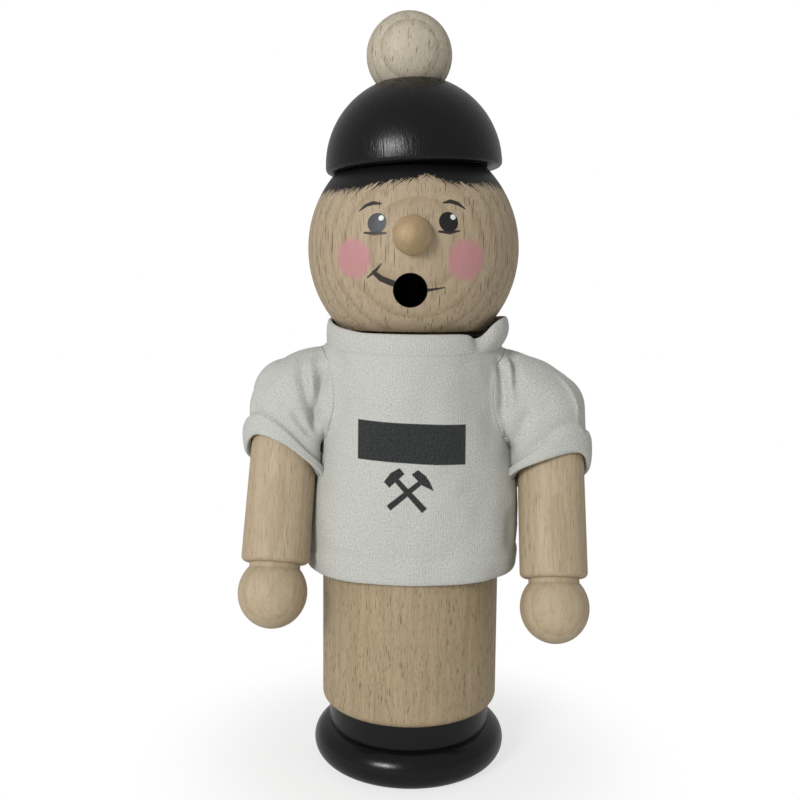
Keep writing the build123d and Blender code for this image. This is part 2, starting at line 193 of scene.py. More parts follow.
# %% Beech
ring_pitch = 3.1
ring_wander = 2.2
ring_share = 0.34
fibre_width = 0.16
streak_share = 0.24
fleck_code = "5E4A33"
fleck_reach = 0.31
fleck_scales = ((1.0, 0.75), (0.6, 0.65), (0.4, 0.5))  # share of the largest size, strength
arm_swing = math.radians(20.5)


def beech(name, centre, base="B4A38A", dark="8A765A", turn=(0, 0, 0), ring=1.0, fleck=1.0, seed=0.0,
          fleck_size=(0.42, 1.4, 3.6), fibre_share=0.34):
    """Waxed beech with its grain along the piece's own Z, centred on centre in metres."""
    material, shader = new_material(name)
    coords = node(material, "TexCoord")
    local = node(material, "Mapping", {"Vector": coords.outputs["Object"], "Location": centre,
                                       "Rotation": turn, "Scale": (mm, mm, mm)}, vector_type="TEXTURE")
    place = local.outputs[0]
    split = node(material, "SeparateXYZ", {0: place})
    # Layers of growth, bent a little by slow noise, each with a thin dark edge
    wander = node(material, "TexNoise", {"Vector": place, "Scale": 0.07, "Detail": 2.0, "W": seed},
                  noise_dimensions="4D")
    bent = node(material, "Math", {0: wander.outputs["Fac"], 1: ring_wander, 2: split.outputs["Y"]},
                operation="MULTIPLY_ADD")
    layer = node(material, "Math", {0: bent.outputs[0], 1: 1 / ring_pitch}, operation="MULTIPLY")
    in_layer = node(material, "Math", {0: layer.outputs[0]}, operation="FRACT")
    late = node(material, "MapRange", {"Value": in_layer.outputs[0], "From Min": 0.55, "From Max": 0.94,
                                       "To Min": 0.0, "To Max": ring_share * ring},
                interpolation_type="SMOOTHSTEP")
    soft = node(material, "MapRange", {"Value": in_layer.outputs[0], "From Min": 1.0, "From Max": 0.95,
                                       "To Min": 0.0, "To Max": 1.0})
    edge = node(material, "Math", {0: late.outputs[0], 1: soft.outputs[0]}, operation="MULTIPLY")
    # Fine fibres
    thin = node(material, "Mapping", {"Vector": place, "Scale": (1 / fibre_width, 1 / fibre_width, 0.2)})
    fibre = node(material, "TexNoise", {"Vector": thin.outputs[0], "Scale": 1.0, "Detail": 3.0})
    fibre_tone = node(material, "MapRange", {"Value": fibre.outputs["Fac"], "From Min": 0.3, "From Max": 0.75,
                                             "To Min": 0.0, "To Max": fibre_share})
    # Streaks a few millimetres wide
    streak_place = node(material, "Mapping", {"Vector": place, "Scale": (0.75, 0.75, 0.035)})
    streak = node(material, "TexNoise", {"Vector": streak_place.outputs[0], "Scale": 1.0, "Detail": 2.0,
                                         "W": seed}, noise_dimensions="4D")
    streak_tone = node(material, "MapRange", {"Value": streak.outputs["Fac"], "From Min": 0.35,
                                              "From Max": 0.7, "To Min": 0.0, "To Max": streak_share})
    # Rays, as long grains that each have a length of their own, in three sizes
    marks = []
    for size, strength in fleck_scales:
        wide, deep, long = (size * length for length in fleck_size)
        stretched = node(material, "Mapping", {"Vector": place, "Location": (seed, seed / size, seed),
                                               "Scale": (1 / wide, 1 / deep, 1 / long)})
        cells = node(material, "TexVoronoi", {"Vector": stretched.outputs[0], "Scale": 1.0})
        own = node(material, "SeparateXYZ", {0: cells.outputs["Color"]})
        reach = node(material, "MapRange", {"Value": own.outputs["X"], "From Min": 0.1, "From Max": 1.0,
                                            "To Min": 0.0, "To Max": fleck_reach})
        inside = node(material, "Math", {0: reach.outputs[0], 1: cells.outputs["Distance"]},
                      operation="SUBTRACT")
        mark = node(material, "MapRange", {"Value": inside.outputs[0], "From Min": -0.04, "From Max": 0.08,
                                           "To Min": 0.0, "To Max": strength * fleck},
                    interpolation_type="SMOOTHSTEP")
        marks.append(mark.outputs[0])
    flecks = node(material, "Math", {0: marks[0], 1: marks[1]}, operation="MAXIMUM")
    flecks = node(material, "Math", {0: flecks.outputs[0], 1: marks[2]}, operation="MAXIMUM")
    tones = edge
    for tone in (fibre_tone, streak_tone):
        tones = node(material, "Math", {0: tones.outputs[0], 1: tone.outputs[0]}, operation="ADD")
    wood = node(material, "Mix", {0: tones.outputs[0], 6: colour(base), 7: colour(dark)}, data_type="RGBA")
    marked = node(material, "Mix", {0: flecks.outputs[0], 6: wood.outputs[2], 7: colour(fleck_code)},
                  data_type="RGBA")
    material.node_tree.links.new(marked.outputs[2], shader.inputs["Base Color"])
    shader.inputs["Roughness"].default_value = 0.55
    shader.inputs["Specular IOR Level"].default_value = 0.3
    hollow = node(material, "Math", {0: flecks.outputs[0], 1: fibre_tone.outputs[0]}, operation="ADD")
    relief = node(material, "Bump", {"Height": hollow.outputs[0], "Strength": 0.3, "Distance": 0.00006},
                  invert=True)
    material.node_tree.links.new(relief.outputs[0], shader.inputs["Normal"])
    return material, shader, marked.outputs[2], place


def middle(name):
    """Middle of a node's box."""
    low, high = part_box(name)
    return [(a + b) / 2 for a, b in zip(low, high)]


wood, *_ = beech("beech_body", middle("body"), base="B3A184", dark="7E6B4C", seed=3.0, ring=0.2, fleck=1.25,
                 fleck_size=(0.26, 0.8, 3.8), fibre_share=0.5)
dress(nodes["body"], wood)
for side, sign in (("right", -1), ("left", 1)):
    for part in ("arm", "hand"):
        name = side + "_" + part
        wood, *_ = beech("beech_" + name, middle(name), turn=(-arm_swing, 0, 0), base="BFAF94", dark="957F61",
                         seed=5.0 + sign, ring=0.5, fleck_size=(0.3, 1.2, 5.5),
                         fleck=0.65 if part == "arm" else 0.35, fibre_share=0.5)
        dress(nodes[name], wood)
wood, *_ = beech("beech_bobble", middle("bobble"), base="C2BAA8", dark="8E816B",
                 turn=(0, math.radians(8), 0), seed=9.0)
dress(nodes["bobble"], wood)
wood, *_ = beech("beech_nose", middle("nose"), base="B79F7C", dark="92754F", seed=11.0, fleck=0.3, ring=0.3)
dress(nodes["nose"], wood)
for name in ("neck_tube", "hat_dowel", "bobble_dowel", "right_shoulder_peg", "left_shoulder_peg"):
    wood, *_ = beech("beech_" + name, middle(name), seed=2.0)
    dress(nodes[name], wood)
print("beech pieces:", sum(name.startswith("beech") for name in bpy.data.materials.keys()))

# %% [markdown]
# The face is painted on the bare ball with a fine brush, so it is part of the head's finish and not a
# piece. Each mark is a shape measured in millimetres from the middle of the head: a stroke is everything
# nearer to a short line than half the brush width, and an eye is a dot cut off by its lower lid. Paint
# lies over the grain and hides it, except the rouge, which is thin.

# %% Painted face
head_low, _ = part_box("head")
centre_above_chin = 18.9 * mm
head_centre = (0, 0, head_low[2] + centre_above_chin)
wood, head_shader, bare, face_place = beech("beech_head", head_centre, seed=1.0,
                                            fleck_size=(0.33, 2.1, 10.5), ring=0.9, fleck=1.3)
brush_edge = 0.08


def spot(material, place, centre, radius, edge=brush_edge):
    """Mask of a round dab of paint."""
    gap = node(material, "VectorMath", {0: place, 1: centre}, operation="DISTANCE")
    mask = node(material, "MapRange", {"Value": gap.outputs["Value"], "From Min": radius + edge,
                                       "From Max": radius - edge}, interpolation_type="SMOOTHSTEP")
    return mask.outputs[0]


def stroke(material, place, start, end, start_r, end_r):
    """Mask of a brush stroke that tapers from one half width to another."""
    run = Vector(end) - Vector(start)
    from_start = node(material, "VectorMath", {0: place, 1: start}, operation="SUBTRACT")
    share = node(material, "VectorMath", {0: from_start.outputs[0], 1: run / run.length_squared},
                 operation="DOT_PRODUCT")
    held = node(material, "Clamp", {"Value": share.outputs["Value"]})
    on_line = node(material, "VectorMath", {0: run, "Scale": held.outputs[0]}, operation="SCALE")
    gap = node(material, "VectorMath", {0: from_start.outputs[0], 1: on_line.outputs[0]},
               operation="DISTANCE")
    width = node(material, "Math", {0: held.outputs[0], 1: end_r - start_r, 2: start_r},
                 operation="MULTIPLY_ADD")
    inside = node(material, "Math", {0: width.outputs[0], 1: gap.outputs["Value"]}, operation="SUBTRACT")
    mask = node(material, "MapRange", {"Value": inside.outputs[0], "From Min": -brush_edge,
                                       "From Max": brush_edge}, interpolation_type="SMOOTHSTEP")
    return mask.outputs[0]


def either(material, masks):
    """The union of several masks."""
    union = masks[0]
    for mask in masks[1:]:
        union = node(material, "Math", {0: union, 1: mask}, operation="MAXIMUM").outputs[0]
    return union


def paint_over(material, below, mask, code, cover=1.0):
    """Lays a colour over another where the mask is 1."""
    factor = node(material, "Math", {0: mask, 1: cover}, operation="MULTIPLY")
    over = node(material, "Mix", {0: factor.outputs[0], 6: below, 7: colour(code)}, data_type="RGBA")
    return over.outputs[2]


# Marks in millimetres from the head's middle: x to the figure's left, y to the back, z up
eye_r = 2.2
eyes = {"right": ((-8.2, -23.2, 4.8), 2.65), "left": ((7.3, -23.5, 5.15), 3.1)}
glints = [((-7.3, -23.3, 5.85), 0.6), ((8.2, -22.9, 6.2), 0.6)]
# Each brush line is a row of places, with half the width of the brush at each
lids = [[((-10.9, -22.3, 2.7), 0.22), ((-8.7, -23.2, 2.5), 0.42), ((-6.3, -24.0, 2.6), 0.28)],
        [((5.2, -24.3, 3.0), 0.24), ((7.5, -23.6, 2.85), 0.44), ((9.7, -22.7, 3.25), 0.18)]]
brows = [[((-12.1, -20.6, 7.4), 0.14), ((-10.6, -21.2, 8.7), 0.42), ((-9.2, -21.7, 9.15), 0.52),
          ((-7.4, -22.3, 8.95), 0.22)],
         [((6.1, -22.7, 9.25), 0.22), ((7.7, -22.0, 9.6), 0.5), ((9.3, -21.6, 9.2), 0.5),
          ((10.9, -21.1, 8.05), 0.14)]]
smile = [[((-8.8, -22.7, -5.8), 0.5), ((-7.2, -22.9, -7.1), 0.7), ((-4.6, -23.2, -8.1), 0.74)],
         [((-10.2, -21.8, -6.9), 0.16), ((-8.5, -22.8, -5.5), 0.38), ((-7.1, -23.6, -3.9), 0.14)],
         [((2.9, -23.0, -9.5), 0.42), ((6.6, -22.5, -8.9), 0.16)]]
cheeks = [((-13.5, -20.9, -2.8), 4.3), ((11.4, -22.0, -3.0), 4.4)]
rouge = "B98186"
rouge_edge = 0.8
ink = "1D1C1E"

painted = bare
cheek_mask = either(wood, [spot(wood, face_place, centre, r, rouge_edge) for centre, r in cheeks])
painted = paint_over(wood, painted, cheek_mask, rouge, 0.86)
height = node(wood, "SeparateXYZ", {0: face_place}).outputs["Z"]
eye_masks = []
for name, (centre, below) in eyes.items():
    ball = spot(wood, face_place, centre, eye_r)
    open_part = node(wood, "MapRange", {"Value": height, "From Min": below - brush_edge,
                                        "From Max": below + brush_edge})
    eye = node(wood, "Math", {0: ball, 1: open_part.outputs[0]}, operation="MULTIPLY")
    eye_masks.append(eye.outputs[0])
# The figure's right eye is a lighter grey than the left: a painted reflection of the gloss on its paint
painted = paint_over(wood, painted, eye_masks[0], "3C3D40")
painted = paint_over(wood, painted, eye_masks[1], ink)
strokes = []
for line in lids + brows + smile:
    for (start, start_r), (end, end_r) in zip(line, line[1:]):
        strokes.append(stroke(wood, face_place, start, end, start_r, end_r))
lines = either(wood, strokes)
painted = paint_over(wood, painted, lines, ink, 0.95)
glint_mask = either(wood, [spot(wood, face_place, centre, r) for centre, r in glints])
painted = paint_over(wood, painted, glint_mask, "DCDCDA")
print("face:", len(strokes), "brush strokes,", len(eyes), "eyes,", len(cheeks), "cheeks")

# %% [markdown]
# The hair is brushed on in short strokes that fall away from a parting over the left eye. Seen as a
# pattern, each stroke is a narrow slanted cell whose length is its own, and which narrows to a point.

# %% Painted hair
parting = math.radians(7)
hair_r = 21.0
# Three layers of strokes: width, slant, longest and offset of each
hair_strokes = ((0.55, 0.75, 2.9, 0.0), (0.4, 0.35, 2.2, 7.3), (0.7, 1.35, 2.8, 3.1))
hair_edge_turn = [-180, -90, -54, -49, -35, -26, -19, -10, 0, 7, 16, 25, 38, 51, 90, 180]
hair_edge_z = [9.5, 12.6, 13.3, 13.1, 13.2, 13.9, 14.3, 14.8, 15.3, 16.0, 15.1, 14.5, 14.4, 14.9, 13.6, 9.5]
split = node(wood, "SeparateXYZ", {0: face_place})
to_front = node(wood, "Math", {0: split.outputs["Y"], 1: -1.0}, operation="MULTIPLY")
turn = node(wood, "Math", {0: split.outputs["X"], 1: to_front.outputs[0]}, operation="ARCTAN2")
turn_share = node(wood, "MapRange", {"Value": turn.outputs[0], "From Min": -math.pi, "From Max": math.pi})
edge_curve = node(wood, "FloatCurve", {"Value": turn_share.outputs[0]})
curve = edge_curve.mapping.curves[0]
edge_low, edge_high = 9.0, 17.0
for index, (degrees, z) in enumerate(zip(hair_edge_turn, hair_edge_z)):
    at = ((degrees + 180) / 360, (z - edge_low) / (edge_high - edge_low))
    if index in (0, len(hair_edge_z) - 1):
        point = curve.points[0 if index == 0 else -1]
        point.location = at
    else:
        curve.points.new(*at)
edge_curve.mapping.update()
edge_z = node(wood, "Math", {0: edge_curve.outputs[0], 1: edge_high - edge_low, 2: edge_low},
              operation="MULTIPLY_ADD")
below_edge = node(wood, "Math", {0: edge_z.outputs[0], 1: split.outputs["Z"]}, operation="SUBTRACT")
arc = node(wood, "Math", {0: turn.outputs[0], 1: hair_r, 2: -parting * hair_r}, operation="MULTIPLY_ADD")
from_parting = node(wood, "Math", {0: arc.outputs[0]}, operation="ABSOLUTE")
hair_masks = [node(wood, "MapRange", {"Value": below_edge.outputs[0], "From Min": 0.1,
                                      "From Max": -0.1}).outputs[0]]
for width, slant, longest, offset in hair_strokes:
    slanted = node(wood, "Math", {0: split.outputs["Z"], 1: slant, 2: from_parting.outputs[0]},
                   operation="MULTIPLY_ADD")
    cell = node(wood, "Math", {0: slanted.outputs[0], 1: 1 / width, 2: offset}, operation="MULTIPLY_ADD")
    number = node(wood, "Math", {0: cell.outputs[0]}, operation="FLOOR")
    in_cell = node(wood, "Math", {0: cell.outputs[0]}, operation="FRACT")
    chance = node(wood, "TexWhiteNoise", {"W": number.outputs[0]}, noise_dimensions="1D")
    length = node(wood, "Math", {0: chance.outputs["Value"], 1: longest}, operation="MULTIPLY")
    off_middle = node(wood, "Math", {0: in_cell.outputs[0], 1: 0.5}, operation="SUBTRACT")
    aside = node(wood, "Math", {0: off_middle.outputs[0]}, operation="ABSOLUTE")
    narrow = node(wood, "Math", {0: aside.outputs[0], 1: -2.0, 2: 1.0}, operation="MULTIPLY_ADD")
    tip = node(wood, "Math", {0: length.outputs[0], 1: narrow.outputs[0]}, operation="MULTIPLY")
    past = node(wood, "Math", {0: tip.outputs[0], 1: below_edge.outputs[0]}, operation="SUBTRACT")
    mask = node(wood, "MapRange", {"Value": past.outputs[0], "From Min": -0.05, "From Max": 0.12})
    hair_masks.append(mask.outputs[0])
hair = either(wood, hair_masks)
painted = paint_over(wood, painted, hair, "0E0E10")
print("hair edge:", min(hair_edge_z), "to", max(hair_edge_z), "mm above the head's middle")

# %% [markdown]
# The inside of the mouth's bore is coloured near black: painted shade, so that the deep hole stays dark
# even where the lamp shines into it. All paint is a little shinier than the waxed wood.

# %% Painted shade in the mouth, and paint gloss
mouth_x, mouth_z, mouth_r = -0.85, -9.6, 3.78
bore_end_y = 6.0
wax_roughness, paint_roughness = 0.55, 0.42
beside = node(wood, "Math", {0: split.outputs["X"], 1: -mouth_x}, operation="ADD")
above = node(wood, "Math", {0: split.outputs["Z"], 1: -mouth_z}, operation="ADD")
off_bore = node(wood, "CombineXYZ", {0: beside.outputs[0], 1: above.outputs[0]})
bore_r = node(wood, "VectorMath", {0: off_bore.outputs[0]}, operation="LENGTH")
in_bore = node(wood, "MapRange", {"Value": bore_r.outputs["Value"], "From Min": mouth_r + 0.05,
                                  "From Max": mouth_r - 0.03})
in_front = node(wood, "Math", {0: split.outputs["Y"], 1: bore_end_y}, operation="LESS_THAN")
bore_shade_mask = node(wood, "Math", {0: in_bore.outputs[0], 1: in_front.outputs[0]}, operation="MULTIPLY")
# Painted shade: near black inside the mouth's bore, where the hole is deep
painted = paint_over(wood, painted, bore_shade_mask.outputs[0], "0B0B0C")
glossy = either(wood, [lines, hair, *eye_masks])
gloss = node(wood, "MapRange", {"Value": glossy, "To Min": wax_roughness, "To Max": paint_roughness})
wood.node_tree.links.new(painted, head_shader.inputs["Base Color"])
wood.node_tree.links.new(gloss.outputs[0], head_shader.inputs["Roughness"])
dress(nodes["head"], wood)

# %% [markdown]
# Hat and foot are beech under black lacquer. The lacquer is thin, so the grain still shows as fine ridges
# where the lamp glints, and the shine is satin, not glassy.

# %% Black lacquer
grain_scale = (2.6, 2.6, 0.32)
gloss_spread = 0.13


def lacquer(name, centre, relief_strength, gloss_low):
    """Satin black lacquer over upright grain."""
    material, shader = new_material(name)
    coords = node(material, "TexCoord")
    local = node(material, "Mapping", {"Vector": coords.outputs["Object"], "Location": centre,
                                       "Scale": (mm, mm, mm)}, vector_type="TEXTURE")
    grain_place = node(material, "Mapping", {"Vector": local.outputs[0], "Scale": grain_scale})
    grain = node(material, "TexNoise", {"Vector": grain_place.outputs[0], "Scale": 1.0, "Detail": 4.0})
    relief = node(material, "Bump", {"Height": grain.outputs["Fac"], "Strength": relief_strength,
                                     "Distance": 0.0002})
    material.node_tree.links.new(relief.outputs[0], shader.inputs["Normal"])
    tone = node(material, "Mix", {0: grain.outputs["Fac"], 6: colour("08080A"), 7: colour("0D0D0F")},
                data_type="RGBA")
    material.node_tree.links.new(tone.outputs[2], shader.inputs["Base Color"])
    shader.inputs["Specular IOR Level"].default_value = 0.3
    gloss = node(material, "MapRange", {"Value": grain.outputs["Fac"], "To Min": gloss_low,
                                        "To Max": gloss_low + gloss_spread})
    material.node_tree.links.new(gloss.outputs[0], shader.inputs["Roughness"])
    return material


for name, relief_strength, gloss_low in (("hat", 0.42, 0.2), ("foot", 0.16, 0.16)):
    dress(nodes[name], lacquer("black_lacquer_" + name, middle(name), relief_strength, gloss_low))

# %% [markdown]
# The plate under the cone and its nail are tinned steel, dulled in patches by heat and ash.

# %% Steel
steel, shader = new_material("tinned_steel")
steel_place = node(steel, "TexCoord")
dulling = node(steel, "TexNoise", {"Vector": steel_place.outputs["Object"], "Scale": 400.0, "Detail": 3.0})
steel_tone = node(steel, "Mix", {0: dulling.outputs["Fac"], 6: colour("A8A59D"), 7: colour("C6C3BB")},
                  data_type="RGBA")
steel_gloss = node(steel, "MapRange", {"Value": dulling.outputs["Fac"], "To Min": 0.25, "To Max": 0.5})
steel.node_tree.links.new(steel_tone.outputs[2], shader.inputs["Base Color"])
steel.node_tree.links.new(steel_gloss.outputs[0], shader.inputs["Roughness"])
shader.inputs["Metallic"].default_value = 1.0
dress(nodes["incense_plate"], steel)
dress(nodes["plate_nail"], steel)

# %% [markdown]
# The shirt is a tube with two holes for the sleeves. It starts as a flat grid that is rolled up, and the
# faces at each armhole are taken out. The edge of each hole is then extruded six times, ring by ring,
# over the shoulder and down the arm. Subdivision makes the coarse cage smooth.

# %% Shirt cage
columns = 32
shirt_z = [49.5, 53.0, 58.5, 64.0, 69.5, 74.7, 79.4, 84.0, 88.6, 93.2, 97.6, 101.2, 102.9]
rows = len(shirt_z) - 1
level_z = [49.5, 55.2, 62.4, 67.6, 76.2, 90.1, 102.9]
front_reach = [22.9, 22.7, 22.5, 22.3, 22.1, 21.6, 20.8]
back_reach = [23.4, 23.2, 22.9, 22.6, 22.3, 21.7, 21.2]
right_reach = [25.1, 25.1, 24.8, 24.2, 22.2, 21.0, 20.6]
left_reach = [25.8, 26.2, 26.2, 26.2, 24.6, 21.5, 21.0]
# A squareness of 2 is an ellipse, and more has fuller corners
front_squareness = [2.3, 2.35, 2.35, 2.3, 2.1, 2.0, 2.0]
seam_tilt = math.tan(math.radians(4))
hole_columns = 6
hole_rows = (6, 11)
hole_half_width = 33.0
hole_low_z = 79.4
hole_high_z = 102.0
hole_centre_z = (hole_low_z + hole_high_z) / 2
hole_half_tall = (hole_high_z - hole_low_z) / 2
tilt_from_z = 90
relax_steps = 30


def shirt_radius(theta, z):
    """Radius of the shirt at an angle from the front, in degrees, and a height."""
    front, back, right, left = (np.interp(z, level_z, reach)
                                for reach in (front_reach, back_reach, right_reach, left_reach))
    across = left if math.sin(math.radians(theta)) > 0 else right
    along = front if math.cos(math.radians(theta)) > 0 else back
    squareness = np.interp(z, level_z, front_squareness) if along == front else 2
    side_share = abs(math.sin(math.radians(theta)) / across) ** squareness
    front_share = abs(math.cos(math.radians(theta)) / along) ** squareness
    return (side_share + front_share) ** (-1 / squareness)


def shirt_point(theta, z):
    """A point of the shirt's body in millimetres, with the neck end tilted down at the front."""
    r = shirt_radius(theta, z)
    x = r * math.sin(math.radians(theta))
    y = -r * math.cos(math.radians(theta))
    share = max(0, (z - tilt_from_z) / (shirt_z[-1] - tilt_from_z))
    return Vector((x, y, z + share * y * seam_tilt))


def relax_cage():
    """Angles and heights of the cage points, spread evenly round two oval armholes."""
    theta = [[-180 + 360 * i / columns for i in range(columns + 1)] for j in range(rows + 1)]
    height = [[shirt_z[j] for i in range(columns + 1)] for j in range(rows + 1)]
    fixed = set()
    for side in (-1, 1):
        middle_column = columns // 2 + side * columns // 4
        first, last = middle_column - hole_columns // 2, middle_column + hole_columns // 2
        for j in range(hole_rows[0], hole_rows[1] + 1):
            for i in range(first, last + 1):
                fixed.add((i, j))
                if i in (first, last) or j in hole_rows:
                    across = (i - middle_column) / (hole_columns / 2)
                    up = (j - sum(hole_rows) / 2) / ((hole_rows[1] - hole_rows[0]) / 2)
                    turn = math.atan2(up, across)
                    theta[j][i] = side * 90 + hole_half_width * math.cos(turn)
                    height[j][i] = hole_centre_z + hole_half_tall * math.sin(turn)
    for step in range(relax_steps):
        for j in range(1, rows):
            for i in range(1, columns):
                if (i, j) in fixed:
                    continue
                near = [(i - 1, j), (i + 1, j), (i, j - 1), (i, j + 1)]
                theta[j][i] = sum(theta[b][a] for a, b in near) / 4
                height[j][i] = sum(height[b][a] for a, b in near) / 4
    return theta, height


bpy.ops.object.select_all(action="DESELECT")
bpy.ops.mesh.primitive_grid_add(x_subdivisions=columns, y_subdivisions=rows, size=1)
shirt = bpy.context.object
shirt.name = "shirt_cage"
theta, height = relax_cage()
grid_place = {}
for vertex in shirt.data.vertices:
    i = round((vertex.co.x + 0.5) * columns)
    j = round((vertex.co.y + 0.5) * rows)
    grid_place[vertex.index] = (i, j)
    vertex.co = shirt_point(theta[j][i], height[j][i]) * mm
print("shirt cage:", len(shirt.data.vertices), "points")

# %% [markdown]
# Each sleeve ring is placed on a curve that leaves the armhole outwards and ends along the arm, so the
# cloth passes over the shoulder in one sweep. The hem isn't level: it hangs lowest beside the body.

# %% Sleeves
sleeve_rings = 6
sleeves = {
    "right": {"sign": -1, "pivot": Vector((-29.8, 0, 90.5)), "splay": math.radians(2.6),
              "hem_r": 9.1, "hem_in": 1.3,
              "swell": [1.0, 2.2, 1.8, 1.4, 0.3, 0.4, 0.5, 0.0],
              "hem_turn": [-90, -52, -29, 0, 45, 90, 135, 180, 225, 270],
              "hem_l": [22.4, 19.2, 17.1, 14.0, 11.8, 15.0, 17.0, 17.5, 19.8, 22.4]},
    "left": {"sign": 1, "pivot": Vector((33.35, 0, 87.5)), "splay": 0.0,
             "hem_r": 9.5, "hem_in": 1.7,
             "swell": [1.0, 1.2, 0.4, 1.0, 1.2, 0.0, 0.2, 0.0],
             "hem_turn": [-90, -64, -23, 16, 38, 90, 135, 180, 225, 270],
             "hem_l": [19.6, 17.5, 15.4, 13.2, 12.3, 15.2, 17.0, 17.5, 18.5, 19.6]},
}
armpit_x, armpit_z = 21.5, 76.0
swell_turn = [0, 14, 30, 43, 54, 65, 79, 91]
under_share = (0.1, 0.5)
leave_share, arrive_share = 0.3, 0.8
least_swell_share = 0.2


def ease(share):
    """A share from 0 to 1 that starts and ends softly."""
    return share * share * (3 - 2 * share)


def arm_frame(part):
    """Directions down the arm, to its front and to its outside."""
    swing = Matrix.Rotation(-arm_swing, 3, "X")
    lean = Matrix.Rotation(-part["sign"] * part["splay"], 3, "Y")
    turn = swing @ lean
    return turn @ Vector((0, 0, -1)), turn @ Vector((0, -1, 0)), turn @ Vector((part["sign"], 0, 0))


def sleeve_point(part, start, turn, share):
    """A point of the sleeve between its armhole point start and the hem."""
    down, front, out = arm_frame(part)
    around = math.radians(turn)
    hem_turn = (90 - turn + 90) % 360 - 90
    hem_l = np.interp(hem_turn, part["hem_turn"], part["hem_l"])
    hem = part["pivot"] + down * hem_l + (front * math.sin(around) + out * math.cos(around)) * part["hem_r"]
    hem -= out * part["hem_in"] * ((1 - math.cos(around)) / 2) ** 2
    # Over the shoulder the cloth turns about a line in the armpit
    fold_x, fold_z = part["sign"] * armpit_x, armpit_z
    ends = []
    for point in (start, hem):
        across, up = (point.x - fold_x) * part["sign"], point.z - fold_z
        ends.append((math.hypot(across, up), math.atan2(across, up)))
    (start_r, start_turn), (hem_r, hem_angle) = ends
    angle = start_turn + (hem_angle - start_turn) * share
    top = (1 + math.cos(around)) / 2
    swell = np.interp(math.degrees(angle), swell_turn, part["swell"]) * top ** 2
    swell *= min(1, 4 * share * (1 - share) + least_swell_share)
    r = start_r + (hem_r - start_r) * share + swell * (share > 0)
    over = Vector((fold_x + part["sign"] * r * math.sin(angle), start.y + (hem.y - start.y) * share,
                   fold_z + r * math.cos(angle)))
    # Under the arm it runs straight down, with a short curve at each end
    gap = (hem - start).length
    leave = Vector((part["sign"], 0, 0)) * gap * leave_share
    arrive = down * gap * arrive_share
    t = share
    under = (start * (2 * t ** 3 - 3 * t ** 2 + 1) + leave * (t ** 3 - 2 * t ** 2 + t)
             + hem * (3 * t ** 2 - 2 * t ** 3) + arrive * (t ** 3 - t ** 2))
    weight = ease(min(1, max(0, (top - under_share[0]) / (under_share[1] - under_share[0]))))
    return over * weight + under * (1 - weight)


def place_key(point):
    """A point as whole micrometres, to find it again after an extrusion."""
    return tuple(round(c * 1e6) for c in point)


on_torso = {}
for vertex in shirt.data.vertices:
    i, j = grid_place[vertex.index]
    on_torso[place_key(vertex.co)] = (theta[j][i], height[j][i])
on_sleeve = {}

bpy.ops.object.mode_set(mode="EDIT")
cage = bmesh.from_edit_mesh(shirt.data)
bpy.ops.mesh.select_all(action="DESELECT")
cage.verts.ensure_lookup_table()
for side in (-1, 1):
    middle_column = columns // 2 + side * columns // 4
    for face in cage.faces:
        cells = [grid_place[v.index] for v in face.verts]
        i = sum(c[0] for c in cells) / 4
        j = sum(c[1] for c in cells) / 4
        in_hole = abs(i - middle_column) < hole_columns / 2 and hole_rows[0] < j < hole_rows[1]
        face.select = face.select or in_hole
bmesh.update_edit_mesh(shirt.data)
bpy.ops.mesh.delete(type="FACE")
bpy.ops.mesh.select_all(action="SELECT")
bpy.ops.mesh.remove_doubles(threshold=1e-6)
bpy.ops.mesh.select_all(action="DESELECT")

bpy.ops.mesh.select_mode(type="EDGE")
for name, part in sleeves.items():
    cage = bmesh.from_edit_mesh(shirt.data)
    for edge in cage.edges:
        turn_heights = [on_torso.get(place_key(v.co), (0, 0)) for v in edge.verts]
        edge.select = edge.is_boundary and all(
            turn * part["sign"] > 0 and shirt_z[0] < high < shirt_z[-1] - 0.1 for turn, high in turn_heights)
    turns = {}
    starts = {}
    for vertex in {v for e in cage.edges if e.select for v in e.verts}:
        turn = math.degrees(math.atan2(-vertex.co.y, vertex.co.z - hole_centre_z * mm)) % 360
        turns[place_key(vertex.co)] = turn
        starts[turn] = vertex.co.copy() / mm
        on_sleeve[place_key(vertex.co)] = (turn, 0.0)
    bmesh.update_edit_mesh(shirt.data)
    for ring in range(1, sleeve_rings + 1):
        bpy.ops.mesh.extrude_edges_move()
        cage = bmesh.from_edit_mesh(shirt.data)
        moved = {}
        for vertex in cage.verts:
            if vertex.select:
                turn = turns[place_key(vertex.co)]
                vertex.co = sleeve_point(part, starts[turn], turn, ring / sleeve_rings) * mm
                moved[place_key(vertex.co)] = turn
                on_sleeve[place_key(vertex.co)] = (turn, ring / sleeve_rings)
        turns = moved
        bmesh.update_edit_mesh(shirt.data)
    bpy.ops.mesh.select_all(action="DESELECT")
bpy.ops.mesh.select_all(action="SELECT")
bpy.ops.mesh.normals_make_consistent(inside=False)

# %% [markdown]
# Knitted cloth has a direction: its columns of loops run down the shirt, and down each sleeve. So every
# face gets a place in the flat cloth, in millimetres, as its UV. The torso counts round its own tube and
# each sleeve round its own.

# %% Flat cloth coordinates
# Angles become lengths of flat cloth at the radius of the torso or of the sleeve
cloth_r = 21.5
sleeve_flat_top = 200.0
sleeve_cut_l = 22.0
sleeve_cut_r = 9.5
torso_part, right_part, left_part = 0, 1, 2
cage = bmesh.from_edit_mesh(shirt.data)
uv = cage.loops.layers.uv.verify()


def near_turn(turn, centre):
    """The same angle, within half a turn of centre."""
    return turn - 360 * round((turn - centre) / 360)


